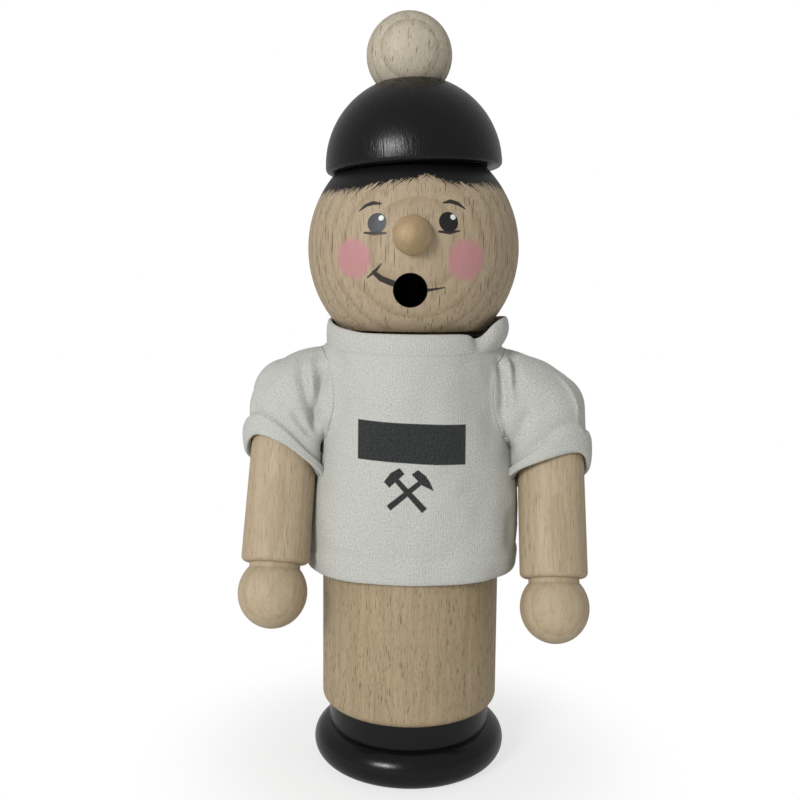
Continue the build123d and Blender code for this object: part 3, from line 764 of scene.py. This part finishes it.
for face in cage.faces:
    keys = [place_key(loop.vert.co) for loop in face.loops]
    if all(key in on_torso for key in keys):
        face.material_index = torso_part
        places = [on_torso[key] for key in keys]
        unit, low, tall = cloth_r, 0.0, 1.0
        middle_turn = math.degrees(math.atan2(face.calc_center_median().x, -face.calc_center_median().y))
    else:
        face.material_index = right_part if face.calc_center_median().x < 0 else left_part
        places = [on_sleeve[key] for key in keys]
        unit, low, tall = sleeve_cut_r, sleeve_flat_top, -sleeve_cut_l
        spread = [math.radians(turn) for turn, along in places]
        middle_turn = math.degrees(math.atan2(sum(map(math.sin, spread)), sum(map(math.cos, spread))))
    for loop, (turn, along) in zip(face.loops, places):
        loop[uv].uv = (math.radians(near_turn(turn, middle_turn)) * unit, low + along * tall)
bmesh.update_edit_mesh(shirt.data)
bpy.ops.object.mode_set(mode="OBJECT")
shirt.data.uv_layers[0].name = "knit"
print("shirt with sleeves:", len(shirt.data.polygons), "faces")

smooth = shirt.modifiers.new("smooth", "SUBSURF")
smooth.levels = 3
smooth.render_levels = 3
smooth.uv_smooth = "NONE"
for part_name in ("torso", "right_sleeve", "left_sleeve"):
    shirt.data.materials.append(bpy.data.materials.new("cut_" + part_name))
bpy.ops.object.modifier_apply(modifier="smooth")
bpy.ops.object.shade_smooth()

# %% [markdown]
# Folds are drawn as lines on the smooth shirt: each presses a valley into the cloth, or raises a ridge,
# with its own width and depth, and runs out at both ends. Those of the front are given as the places
# where the eye sees them, and a ray from the camera finds each on the cloth.

# %% Folds
points = np.array([v.co for v in shirt.data.vertices]) / mm
normals = np.array([v.normal for v in shirt.data.vertices])
loop_vertex = np.array([loop.vertex_index for loop in shirt.data.loops])
loop_uv = np.array([item.uv for item in shirt.data.uv_layers["knit"].data])
face_part = np.array([p.material_index for p in shirt.data.polygons])
loop_part = np.repeat(face_part, [p.loop_total for p in shirt.data.polygons])
part_of = [np.zeros(len(points), bool) for part in range(3)]
for part in (torso_part, right_part, left_part):
    part_of[part][loop_vertex[loop_part == part]] = True
armhole_edge = part_of[torso_part] & (part_of[right_part] | part_of[left_part])
down_sleeve = np.zeros(len(points))
on_a_sleeve = loop_part != torso_part
down_sleeve[loop_vertex[on_a_sleeve]] = (sleeve_flat_top - loop_uv[on_a_sleeve, 1]) / sleeve_cut_l
picture_px = 800
fold_end_share = 0.3


def on_shirt(place):
    """A point on the cloth in millimetres, from itself or from where the camera sees it."""
    if len(place) == 3:
        return Vector(place)
    reach = camera_data.sensor_width / camera_data.lens / picture_px
    ray = Vector(((place[0] - picture_px / 2) * reach, (picture_px / 2 - place[1]) * reach, -1))
    start = camera.matrix_world.translation / mm
    hit, *_ = smooth_shirt.ray_cast(start, camera.matrix_world.to_3x3() @ ray)
    return hit


def fold_share(line, width):
    """How far each cloth point shares in a fold, 1 on its line and 0 far away."""
    line = [on_shirt(place) for place in line]
    line = np.array([tuple(place) for place in line if place is not None])
    length = np.concatenate([[0], np.cumsum(np.linalg.norm(np.diff(line, axis=0), axis=1))])
    nearest = np.full(len(points), 1e9)
    along = np.zeros(len(points))
    for k in range(len(line) - 1):
        run = line[k + 1] - line[k]
        t = np.clip((points - line[k]) @ run / (run @ run), 0, 1)
        gap = np.linalg.norm(points - line[k] - t[:, None] * run, axis=1)
        closer = gap < nearest
        nearest[closer] = gap[closer]
        along[closer] = (length[k] + t * (length[k + 1] - length[k]))[closer] / length[-1]
    ends = ease(np.clip(np.minimum(along, 1 - along) / fold_end_share, 0, 1))
    away = nearest / width
    return ends * np.exp(-away * away)


# The cloth bridges the hollow between chest and sleeve: points there are drawn to their neighbours, and
# those that this moves outwards stay moved
edges = np.array([e.vertices for e in shirt.data.edges])
neighbours = np.bincount(edges.ravel(), minlength=len(points))[:, None]
armhole_points = points[armhole_edge]
near_armhole = np.min([np.linalg.norm(points - p, axis=1) for p in armhole_points], axis=0)
neck_edge_tall = 0.15
neck_edge = np.array([Vector(p).z > shirt_z[-1] + p[1] * seam_tilt - neck_edge_tall for p in points])
bridge_width, bridge_steps = 5.0, 160
draw = np.exp(-(near_armhole / bridge_width) ** 2)[:, None] * ~neck_edge[:, None]
drawn = points.copy()
for step in range(bridge_steps):
    total = np.zeros_like(drawn)
    np.add.at(total, edges[:, 0], drawn[edges[:, 1]])
    np.add.at(total, edges[:, 1], drawn[edges[:, 0]])
    drawn = drawn + 0.5 * draw * (total / neighbours - drawn)
outwards = np.sum((drawn - points) * normals, axis=1)
points = points + normals * np.maximum(outwards, 0)[:, None]
shirt.data.vertices.foreach_set("co", (points * mm).ravel())
shirt.data.update()
normals = np.array([v.normal for v in shirt.data.vertices])
smooth_shirt = BVHTree.FromPolygons([Vector(p) for p in points], [p.vertices for p in shirt.data.polygons])

# Each fold: the cloth that it is in, its line, and its width and height in millimetres
sleeves_only = part_of[right_part] | part_of[left_part]
everywhere = np.ones(len(points), bool)
folds = [
    # viewer's left sleeve
    (everywhere, [(325, 358), (321, 380), (318, 398), (316, 420), (318, 440)], 1.2, -2.1),
    (everywhere, [(311, 354), (312, 378), (314, 396), (318, 412)], 1.2, 1.1),
    (sleeves_only, [(302, 352), (303, 380), (309, 403), (315, 420), (321, 438)], 1.3, -1.6),
    (sleeves_only, [(288, 405), (298, 420), (308, 432), (322, 445)], 0.9, -0.9),
    (sleeves_only, [(262, 405), (278, 400), (292, 407)], 2.2, -0.45),
    (sleeves_only, [(247, 400), (251, 407), (262, 410)], 1.2, -0.6),
    (sleeves_only, [(262, 350), (285, 355), (310, 352)], 1.6, -0.35),
    # viewer's right sleeve
    (everywhere, [(508, 350), (515, 366), (517, 380), (513, 398)], 0.9, -1.6),
    (everywhere, [(503, 350), (509, 368), (511, 388), (510, 406), (509, 418)], 1.1, 0.9),
    (everywhere, [(496, 352), (503, 374), (505, 394), (504, 408), (504, 422)], 1.1, -1.7),
    (sleeves_only, [(533, 402), (526, 418), (519, 434), (510, 452)], 1.5, -0.9),
    (sleeves_only, [(553, 371), (564, 383), (573, 398), (579, 414), (582, 425)], 0.7, 0.5),
    (sleeves_only, [(583, 424), (588, 431), (592, 432)], 1.0, -0.7),
    # chest
    (part_of[torso_part], [(494, 362), (497, 385), (498, 405), (497, 430)], 1.9, -0.9),
    (part_of[torso_part], [(512, 505), (510, 530), (508, 552)], 2.2, -0.9),
    (part_of[torso_part], [(318, 350), (332, 356), (352, 360)], 1.2, -0.35),
    # back and under the arms
    (part_of[torso_part], [(-15, 15, 97), (-12, 19, 86), (-11, 20.5, 76)], 1.8, -0.7),
    (part_of[torso_part], [(14, 16, 98), (13.5, 18, 88), (14, 18, 80)], 1.5, -0.6),
    (part_of[torso_part], [(-6, 23, 60), (4, 23, 66), (12, 20, 76)], 2.2, -0.5),
    (sleeves_only, [(-24, 7, 97), (-27, 9, 91), (-29, 9, 84)], 1.4, -0.9),
    (sleeves_only, [(26, 8, 96), (29, 9.5, 89), (32, 9, 82)], 1.4, -0.9),
]
seam_fade_width = 1.6
seam_fade = 1 - np.exp(-(near_armhole / seam_fade_width) ** 2)
shift = np.zeros(len(points))
for where, line, width, height_mm in folds:
    fade = 1 if where is everywhere else seam_fade
    shift += np.where(where, fold_share(line, width) * height_mm * fade, 0)
# No cloth is quite even: millimetres of swing, and how far apart the swings are
unevenness = [(0.6, 11.0), (0.25, 5.0)]
for swing, spread in unevenness:
    shift += [swing * noise.noise(Vector(p) / spread) for p in points]
# A hem is a rolled band that stands a little proud, with a crease above it on the sleeves
hem_tall, hem_round_l, hem_soft = 5.4, 1.4, 1.2
crease_up, crease_down, crease_from_seam = 2.2, 0.5, 3
neck_fade = 2.5
hem_proud = np.where(sleeves_only, 0.6, 0.3)
crease_deep = np.where(sleeves_only, 0.7, 0.12)
from_hem = points[:, 2] - shirt_z[0]
from_hem = np.where(down_sleeve > 0, (1 - down_sleeve) * sleeve_cut_l, from_hem)
hem_end = np.sqrt(1 - (1 - np.clip(from_hem / hem_round_l, 0, 1)) ** 2)
in_hem = ease(np.clip((hem_tall - from_hem) / hem_soft, 0, 1))
shift += hem_proud * (hem_end - 1 + in_hem)
past_crease = from_hem - hem_tall
crease = np.exp(-(past_crease / np.where(past_crease > 0, crease_up, crease_down)) ** 2)
shift -= crease_deep * crease * np.clip(near_armhole / crease_from_seam, 0, 1)
from_neck = shirt_z[-1] + points[:, 1] * seam_tilt - points[:, 2]
shift *= np.clip(from_neck / neck_fade, 0, 1)
points = points + normals * shift[:, None]
print("folds:", len(folds), "deepest", round(float(shift.min()), 2), "mm")

# %% [markdown]
# The folded cloth must not cut into the wood under it. Any point too near the body or an arm is pushed
# out to a cloth's thickness from it.

# %% Keep off the wood
cloth_thick = 0.6
stand_off = cloth_thick + 0.1
touch = 0.06
past_seam_share = 0.25
search_r = 4.0


def face_tree(piece):
    """A search tree of a piece's faces, in millimetres."""
    mesh = piece.data
    return BVHTree.FromPolygons([v.co / mm for v in mesh.vertices], [p.vertices for p in mesh.polygons])


# Round the armhole the cloth is the torso's, off the body, and further down it is the sleeve's, off the arm
past_seam = np.clip(down_sleeve / past_seam_share, 0, 1)
off_arm = touch + (stand_off - touch) * past_seam
off_body = stand_off + (touch - stand_off) * past_seam
pushed = 0
arm_gap = np.full(len(points), search_r)


def push_off(tree, which, least, turn=Matrix.Identity(3), pivot=Vector()):
    """Pushes points out to their least distance from a piece of wood that is turned about a pivot."""
    count = 0
    for index in which:
        point = turn @ (Vector(points[index]) - pivot) + pivot
        hit, normal, *_ = tree.find_nearest(point, search_r)
        if hit is None:
            continue
        away = (point - hit).dot(normal)
        if away < least[index]:
            points[index] = turn.transposed() @ (hit + normal * least[index] - pivot) + pivot
            count += 1
        if sleeves_only[index]:
            arm_gap[index] = min(arm_gap[index], max(away, least[index]))
    return count


# The torso also makes room for each arm as it swings from its back limit to its front one. Near rest it may
# stand in the arm's way by the little that soft cloth gives: degrees of turn and millimetres.
arm_turns = {-40: 0, -30: 0, -20: 0.4, -10: 1.2, 10: 1.5, 20: 1.5, 40: 0.5, 70: 0}
every_point = np.arange(len(points))
for name, part in sleeves.items():
    tree = face_tree(nodes[name + "_arm"])
    pushed += push_off(tree, every_point, off_arm)
    for degrees, cloth_give in arm_turns.items():
        pushed += push_off(tree, np.flatnonzero(~sleeves_only), off_arm - cloth_give,
                           Matrix.Rotation(math.radians(degrees), 3, "X"), part["pivot"])
pushed += push_off(face_tree(nodes["body"]), every_point, off_body)
shirt.data.vertices.foreach_set("co", (points * mm).ravel())
shirt.data.update()
print("points pushed off the wood:", pushed)

# A sleeve hem is rolled up inside, so there the cloth is as thick as the room beside the arm allows
hem_thick = 1.9
room = np.clip(arm_gap - touch, cloth_thick, hem_thick) - cloth_thick
roll = np.where(sleeves_only, room * hem_end * in_hem, 0) / (hem_thick - cloth_thick)
thick_group = shirt.vertex_groups.new(name="hem_roll")
for index in np.flatnonzero(roll > 0):
    thick_group.add([int(index)], float(roll[index]), "REPLACE")

# %% [markdown]
# A sleeve turns with its arm and the torso doesn't, so the shirt is cut apart at the armholes. Each part
# gets the thickness of the cloth, inwards, and the hems get a rounded edge. Both sides of a cut keep the
# normals of the whole shirt, so the shading runs on over the cut.

# %% Cut out, thicken and round
bpy.ops.object.select_all(action="DESELECT")
shirt.select_set(True)
bpy.context.view_layer.objects.active = shirt
armhole_keys = {place_key(v.co): v.normal.copy()
                for v, at_edge in zip(shirt.data.vertices, armhole_edge) if at_edge}
near_middle = 10 * mm
bpy.ops.object.mode_set(mode="EDIT")
bpy.ops.mesh.separate(type="MATERIAL")
bpy.ops.object.mode_set(mode="OBJECT")
cut = {}
for piece in bpy.context.selected_objects:
    x = sum(v.co.x for v in piece.data.vertices) / len(piece.data.vertices)
    name = "shirt_torso" if abs(x) < near_middle else "shirt_right_sleeve" if x < 0 else "shirt_left_sleeve"
    piece.name = name
    cut[name] = piece
rim_angle = math.radians(55)
smooth_angle = math.radians(50)
same_way = 0.6
hem_round = 0.24
for name, piece in cut.items():
    bpy.ops.object.select_all(action="DESELECT")
    piece.select_set(True)
    bpy.context.view_layer.objects.active = piece
    open_edge = [v.index for v in piece.data.vertices if place_key(v.co) in armhole_keys]
    seam = piece.vertex_groups.new(name="armhole")
    seam.add(open_edge, 1.0, "REPLACE")
    wall = piece.modifiers.new("wall", "SOLIDIFY")
    wall.thickness = hem_thick * mm
    wall.vertex_group = "hem_roll"
    wall.thickness_vertex_group = cloth_thick / hem_thick
    wall.offset = -1
    bpy.ops.object.modifier_apply(modifier="wall")
    bpy.ops.object.mode_set(mode="EDIT")
    bpy.ops.mesh.select_mode(type="EDGE")
    bpy.ops.mesh.select_all(action="DESELECT")
    form = bmesh.from_edit_mesh(piece.data)
    groups = form.verts.layers.deform.verify()
    for edge in form.edges:
        at_seam = any(seam.index in v[groups] and v[groups][seam.index] > 0.5 for v in edge.verts)
        edge.select = (not at_seam and len(edge.link_faces) == 2 and edge.calc_face_angle() > rim_angle)
    bmesh.update_edit_mesh(piece.data)
    bpy.ops.mesh.bevel(offset=hem_round * mm, segments=2, affect="EDGES")
    bpy.ops.object.mode_set(mode="OBJECT")
    piece.data.materials.clear()
    bpy.ops.object.shade_smooth_by_angle(angle=smooth_angle)
    kept = [(0, 0, 0)] * len(piece.data.loops)
    for face in piece.data.polygons:
        for loop, index in zip(face.loop_indices, face.vertices):
            whole = armhole_keys.get(place_key(piece.data.vertices[index].co))
            if whole is not None and whole.dot(face.normal) > same_way:
                kept[loop] = whole
    piece.data.normals_split_custom_set(kept)
    # The groups have done their work, and the bevel leaves weights below 0 in them
    piece.vertex_groups.clear()
    print(name, len(piece.data.polygons), "faces")

# %% [markdown]
# The shirt is fine jersey. Its loops stand in columns, each loop a small V. They are drawn a little
# coarser than real jersey of this weight, which has loops of about 0.3 mm, so that they can be seen. The
# cloth is matt, with a soft sheen at its edges.

# %% Jersey
wale, course = 0.5, 0.38
drift_scale, drift_reach = 0.35, 1.1
loop_lean, loop_deep = 0.6, 0.8
fuzz_scale, fuzz_high = 2.2, 11.0


def jersey(name, base="CDCEC9", shade="A9AAA2"):
    """Cotton jersey on the knit UV map, in millimetres."""
    material, shader = new_material(name)
    flat = node(material, "UVMap", uv_map="knit")
    drift = node(material, "TexNoise", {"Vector": flat.outputs[0], "Scale": drift_scale, "Detail": 2.0})
    wobble = node(material, "VectorMath", {0: drift.outputs["Color"], "Scale": drift_reach},
                  operation="SCALE")
    place = node(material, "VectorMath", {0: flat.outputs[0], 1: wobble.outputs[0]}, operation="ADD")
    split = node(material, "SeparateXYZ", {0: place.outputs[0]})
    column = node(material, "Math", {0: split.outputs["X"], 1: 1 / wale}, operation="MULTIPLY")
    across = node(material, "Math", {0: column.outputs[0], 1: 1.0}, operation="PINGPONG")
    row = node(material, "Math", {0: split.outputs["Y"], 1: 1 / course}, operation="MULTIPLY")
    leaning = node(material, "Math", {0: across.outputs[0], 1: loop_lean, 2: row.outputs[0]},
                   operation="MULTIPLY_ADD")
    turns = node(material, "Math", {0: leaning.outputs[0], 1: 2 * math.pi}, operation="MULTIPLY")
    loop_wave = node(material, "Math", {0: turns.outputs[0]}, operation="SINE")
    rib_turns = node(material, "Math", {0: column.outputs[0], 1: 2 * math.pi}, operation="MULTIPLY")
    rib_wave = node(material, "Math", {0: rib_turns.outputs[0]}, operation="COSINE")
    waves = node(material, "Math", {0: loop_wave.outputs[0], 1: loop_deep, 2: rib_wave.outputs[0]},
                 operation="MULTIPLY_ADD")
    fuzz = node(material, "TexNoise", {"Vector": flat.outputs[0], "Scale": fuzz_scale, "Detail": 3.0})
    height = node(material, "Math", {0: fuzz.outputs["Fac"], 1: fuzz_high, 2: waves.outputs[0]},
                  operation="MULTIPLY_ADD")
    tone = node(material, "MapRange", {"Value": height.outputs[0], "From Min": 2.0, "From Max": 8.6})
    yarn = node(material, "Mix", {0: tone.outputs[0], 6: colour(shade), 7: colour(base)}, data_type="RGBA")
    relief = node(material, "Bump", {"Height": height.outputs[0], "Strength": 0.4, "Distance": 0.00005})
    material.node_tree.links.new(yarn.outputs[2], shader.inputs["Base Color"])
    material.node_tree.links.new(relief.outputs[0], shader.inputs["Normal"])
    shader.inputs["Roughness"].default_value = 0.9
    shader.inputs["Specular IOR Level"].default_value = 0.2
    shader.inputs["Sheen Weight"].default_value = 0.15
    shader.inputs["Sheen Roughness"].default_value = 0.5
    return material, shader, yarn.outputs[2], tone.outputs[0]


cotton, *_ = jersey("cotton_jersey")
dress(cut["shirt_right_sleeve"], cotton)
dress(cut["shirt_left_sleeve"], cotton)

# %% [markdown]
# The chest carries a dark printed bar and under it the crossed hammer and pick of the miners, an old
# guild sign that is common property. Each is a mask made of flat-sided shapes: a point is inside a shape
# when it is on the inner side of all its edges. The ink is thin, so the loops of the cloth show in it.

# %% Print on the chest
printed, shader, yarn, loops_seen = jersey("printed_cotton_jersey")
ink_code = "1C1F21"
bar = [(-12.2, 86.6), (11.9, 85.7), (11.9, 76.9), (-12.2, 77.9)]
sign_x, sign_z = -1.1, 70.8
hammer_head = [(-1.76, 5.38), (-0.74, 4.21), (-4.01, 1.17), (-5.10, 2.32), (-3.69, 4.25)]
hammer_shaft = [(-2.36, 3.43), (4.33, -3.53), (3.39, -4.41), (-3.06, 2.77)]
pick_head = [(2.36, 5.08), (4.06, 3.80), (5.03, 2.32), (5.75, 0.63), (3.30, 1.84), (1.11, 4.12)]
pick_shaft = [(2.49, 2.60), (3.11, 1.86), (-3.68, -3.97), (-4.48, -3.01)]
print_edge = 0.09


def flat_shape(material, place, corners):
    """Mask of a flat-sided shape in x and z, with its corners in millimetres, clockwise."""
    nearest_edge = None
    for (x0, z0), (x1, z1) in zip(corners, corners[1:] + corners[:1]):
        length = math.hypot(x1 - x0, z1 - z0)
        inward = Vector(((z1 - z0) / length, 0, -(x1 - x0) / length))
        reach = node(material, "VectorMath", {0: place, 1: inward}, operation="DOT_PRODUCT")
        inside = node(material, "Math", {0: reach.outputs["Value"], 1: inward.x * x0 + inward.z * z0},
                      operation="SUBTRACT").outputs[0]
        if nearest_edge is not None:
            inside = node(material, "Math", {0: nearest_edge, 1: inside}, operation="MINIMUM").outputs[0]
        nearest_edge = inside
    mask = node(material, "MapRange", {"Value": nearest_edge, "From Min": -2.2 * print_edge, "From Max": 0.0})
    return mask.outputs[0]


coords = node(printed, "TexCoord")
chest_place = node(printed, "VectorMath", {0: coords.outputs["Object"], "Scale": 1 / mm}, operation="SCALE")
sign_place = node(printed, "VectorMath", {0: chest_place.outputs[0], 1: (sign_x, 0, sign_z)},
                  operation="SUBTRACT")
shapes = [flat_shape(printed, chest_place.outputs[0], bar)]
shapes += [flat_shape(printed, sign_place.outputs[0], shape)
           for shape in (hammer_head, hammer_shaft, pick_head, pick_shaft)]
front_y = node(printed, "SeparateXYZ", {0: chest_place.outputs[0]})
in_front = node(printed, "Math", {0: front_y.outputs["Y"], 1: 0.0}, operation="LESS_THAN")
inked = node(printed, "Math", {0: either(printed, shapes), 1: in_front.outputs[0]}, operation="MULTIPLY")
worn = node(printed, "MapRange", {"Value": loops_seen, "To Min": 1.0, "To Max": 0.93})
cover = node(printed, "Math", {0: inked.outputs[0], 1: worn.outputs[0]}, operation="MULTIPLY")
printed_yarn = node(printed, "Mix", {0: cover.outputs[0], 6: yarn, 7: colour(ink_code)}, data_type="RGBA")
printed.node_tree.links.new(printed_yarn.outputs[2], shader.inputs["Base Color"])
dress(cut["shirt_torso"], printed)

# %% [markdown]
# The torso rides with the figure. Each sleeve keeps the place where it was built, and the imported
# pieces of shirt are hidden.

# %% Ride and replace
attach(cut["shirt_torso"], "figure")
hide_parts("shirt_front", "shirt_back")
for side, part in sleeves.items():
    piece = cut["shirt_" + side + "_sleeve"]
    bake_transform(piece)
    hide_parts(side + "_sleeve")

# %% [markdown]
# The collar is a double band, stitched to the neck edge. It stands under the chin, dips beside it on the
# figure's left, and flares outwards from there to the back. It is a tube of a few rows, given its wall,
# and then smoothed, which rounds the folded edge.

# %% Collar
collar_columns = 96
collar_turn = [-180, -120, -90, -60, -35, 0, 30, 40, 45, 50, 56, 64, 76, 92, 115, 140, 180]
collar_top_z = [109.0, 109.0, 109.0, 107.3, 106.3, 106.2, 106.2, 106.0, 104.9, 105.2, 108.0, 109.4, 109.9,
                109.9, 109.4, 109.0, 109.0]
collar_top_r = [21.0, 20.6, 20.3, 20.3, 20.4, 20.4, 20.5, 20.3, 19.5, 20.4, 21.9, 22.7, 22.8,
                22.2, 21.6, 21.2, 21.0]
collar_belly = [0.3, 0.3, 0.3, 0.35, 0.45, 0.45, 0.45, 0.4, -0.1, 0.2, 1.2, 1.7, 1.7,
                1.4, 0.8, 0.4, 0.3]
collar_flare = 1.4
collar_flat_tall = 6.0
collar_foot_proud = -0.12
collar_rows = 4
collar_thick = 1.2
collar_overlap = 0.9

bpy.ops.object.select_all(action="DESELECT")
bpy.ops.mesh.primitive_grid_add(x_subdivisions=collar_columns, y_subdivisions=collar_rows, size=1)
collar = bpy.context.object
collar.name = "shirt_collar_band"
collar_flat = collar.data.uv_layers[0]
collar_flat.name = "knit"
for item in collar_flat.data:
    item.uv = (item.uv.x * 2 * math.pi * cloth_r, item.uv.y * collar_flat_tall)
for vertex in collar.data.vertices:
    turn = (vertex.co.x + 0.5) * 360 - 180
    share = vertex.co.y + 0.5
    around = math.radians(turn)
    top_r, top_z, belly = (np.interp(turn, collar_turn, table)
                           for table in (collar_top_r, collar_top_z, collar_belly))
    foot_r = shirt_radius(turn, shirt_z[-1]) + collar_foot_proud
    seam_z = shirt_z[-1] - foot_r * math.cos(around) * seam_tilt - collar_overlap
    r = foot_r + (top_r - foot_r) * share ** collar_flare + belly * math.sin(math.pi * share)
    z = seam_z + (top_z - seam_z) * share
    vertex.co = Vector((r * math.sin(around), -r * math.cos(around), z)) * mm
bpy.ops.object.mode_set(mode="EDIT")
bpy.ops.mesh.select_all(action="SELECT")
bpy.ops.mesh.remove_doubles(threshold=1e-6)
bpy.ops.mesh.normals_make_consistent(inside=False)
bpy.ops.object.mode_set(mode="OBJECT")
wall = collar.modifiers.new("wall", "SOLIDIFY")
wall.thickness = collar_thick * mm
wall.offset = -1
bpy.ops.object.modifier_apply(modifier="wall")
smooth = collar.modifiers.new("smooth", "SUBSURF")
smooth.levels = 2
smooth.render_levels = 2
smooth.uv_smooth = "NONE"
bpy.ops.object.modifier_apply(modifier="smooth")
bpy.ops.object.shade_smooth()
rib, *_ = jersey("cotton_rib")
dress(collar, rib)
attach(collar, "figure")
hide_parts("shirt_collar")
print("collar:", len(collar.data.polygons), "faces")

# %% [markdown]
# The collar's foot and the torso's hem are sewn with white thread. The seams show as rows of small
# stitches, each a short rounded grain that lies on the cloth.

# %% Stitches
stitch_l, stitch_r = 0.32, 0.12
stitch_pitch = 3.1
hem_seam_z = 59.6
collar_seam_up = 0.25
ray_from_r = 60


def stitches(name, cloth, places):
    """One piece of small stitches on a cloth, at places that are each an angle in degrees and a height."""
    tree = face_tree(cloth)
    bpy.ops.object.select_all(action="DESELECT")
    made = None
    for turn, z in places:
        around = math.radians(turn)
        out = Vector((math.sin(around), -math.cos(around), 0))
        hit, *_ = tree.ray_cast(out * ray_from_r + Vector((0, 0, z)), -out)
        bpy.ops.mesh.primitive_uv_sphere_add(segments=6, ring_count=4, radius=1, location=hit * mm,
                                             rotation=(0, 0, around),
                                             scale=(stitch_l * mm, stitch_r * mm, stitch_r * mm))
        if made is None:
            made = bpy.context.object
            made.name = name
            bpy.ops.object.transform_apply(location=True, rotation=True, scale=True)
            bpy.ops.object.mode_set(mode="EDIT")
    bpy.ops.object.mode_set(mode="OBJECT")
    bpy.ops.object.shade_smooth()
    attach(made, "figure")
    print(name, len(made.data.polygons), "faces")
    return made


def collar_seam(turn):
    """Height of the seam at the collar's foot, which is tilted like the neck."""
    down = shirt_radius(turn, shirt_z[-1]) * math.cos(math.radians(turn)) * seam_tilt
    return shirt_z[-1] - down + collar_seam_up


thread, shader = new_material("white_thread")
coords = node(thread, "TexCoord")
twist = node(thread, "TexNoise", {"Vector": coords.outputs["Object"], "Scale": 3000.0})
strand = node(thread, "Mix", {0: twist.outputs["Fac"], 6: colour("C0C0B9"), 7: colour("DFDED9")},
              data_type="RGBA")
thread.node_tree.links.new(strand.outputs[2], shader.inputs["Base Color"])
shader.inputs["Roughness"].default_value = 0.8
hem_places = [(turn, hem_seam_z) for turn in np.arange(-179, 179, stitch_pitch)]
collar_places = [(turn, collar_seam(turn)) for turn in np.arange(-48, 46, stitch_pitch)]
hem_stitches = stitches("hem_stitches", cut["shirt_torso"], hem_places)
collar_stitches = stitches("collar_stitches", collar, collar_places)
for piece in (hem_stitches, collar_stitches):
    dress(piece, thread)
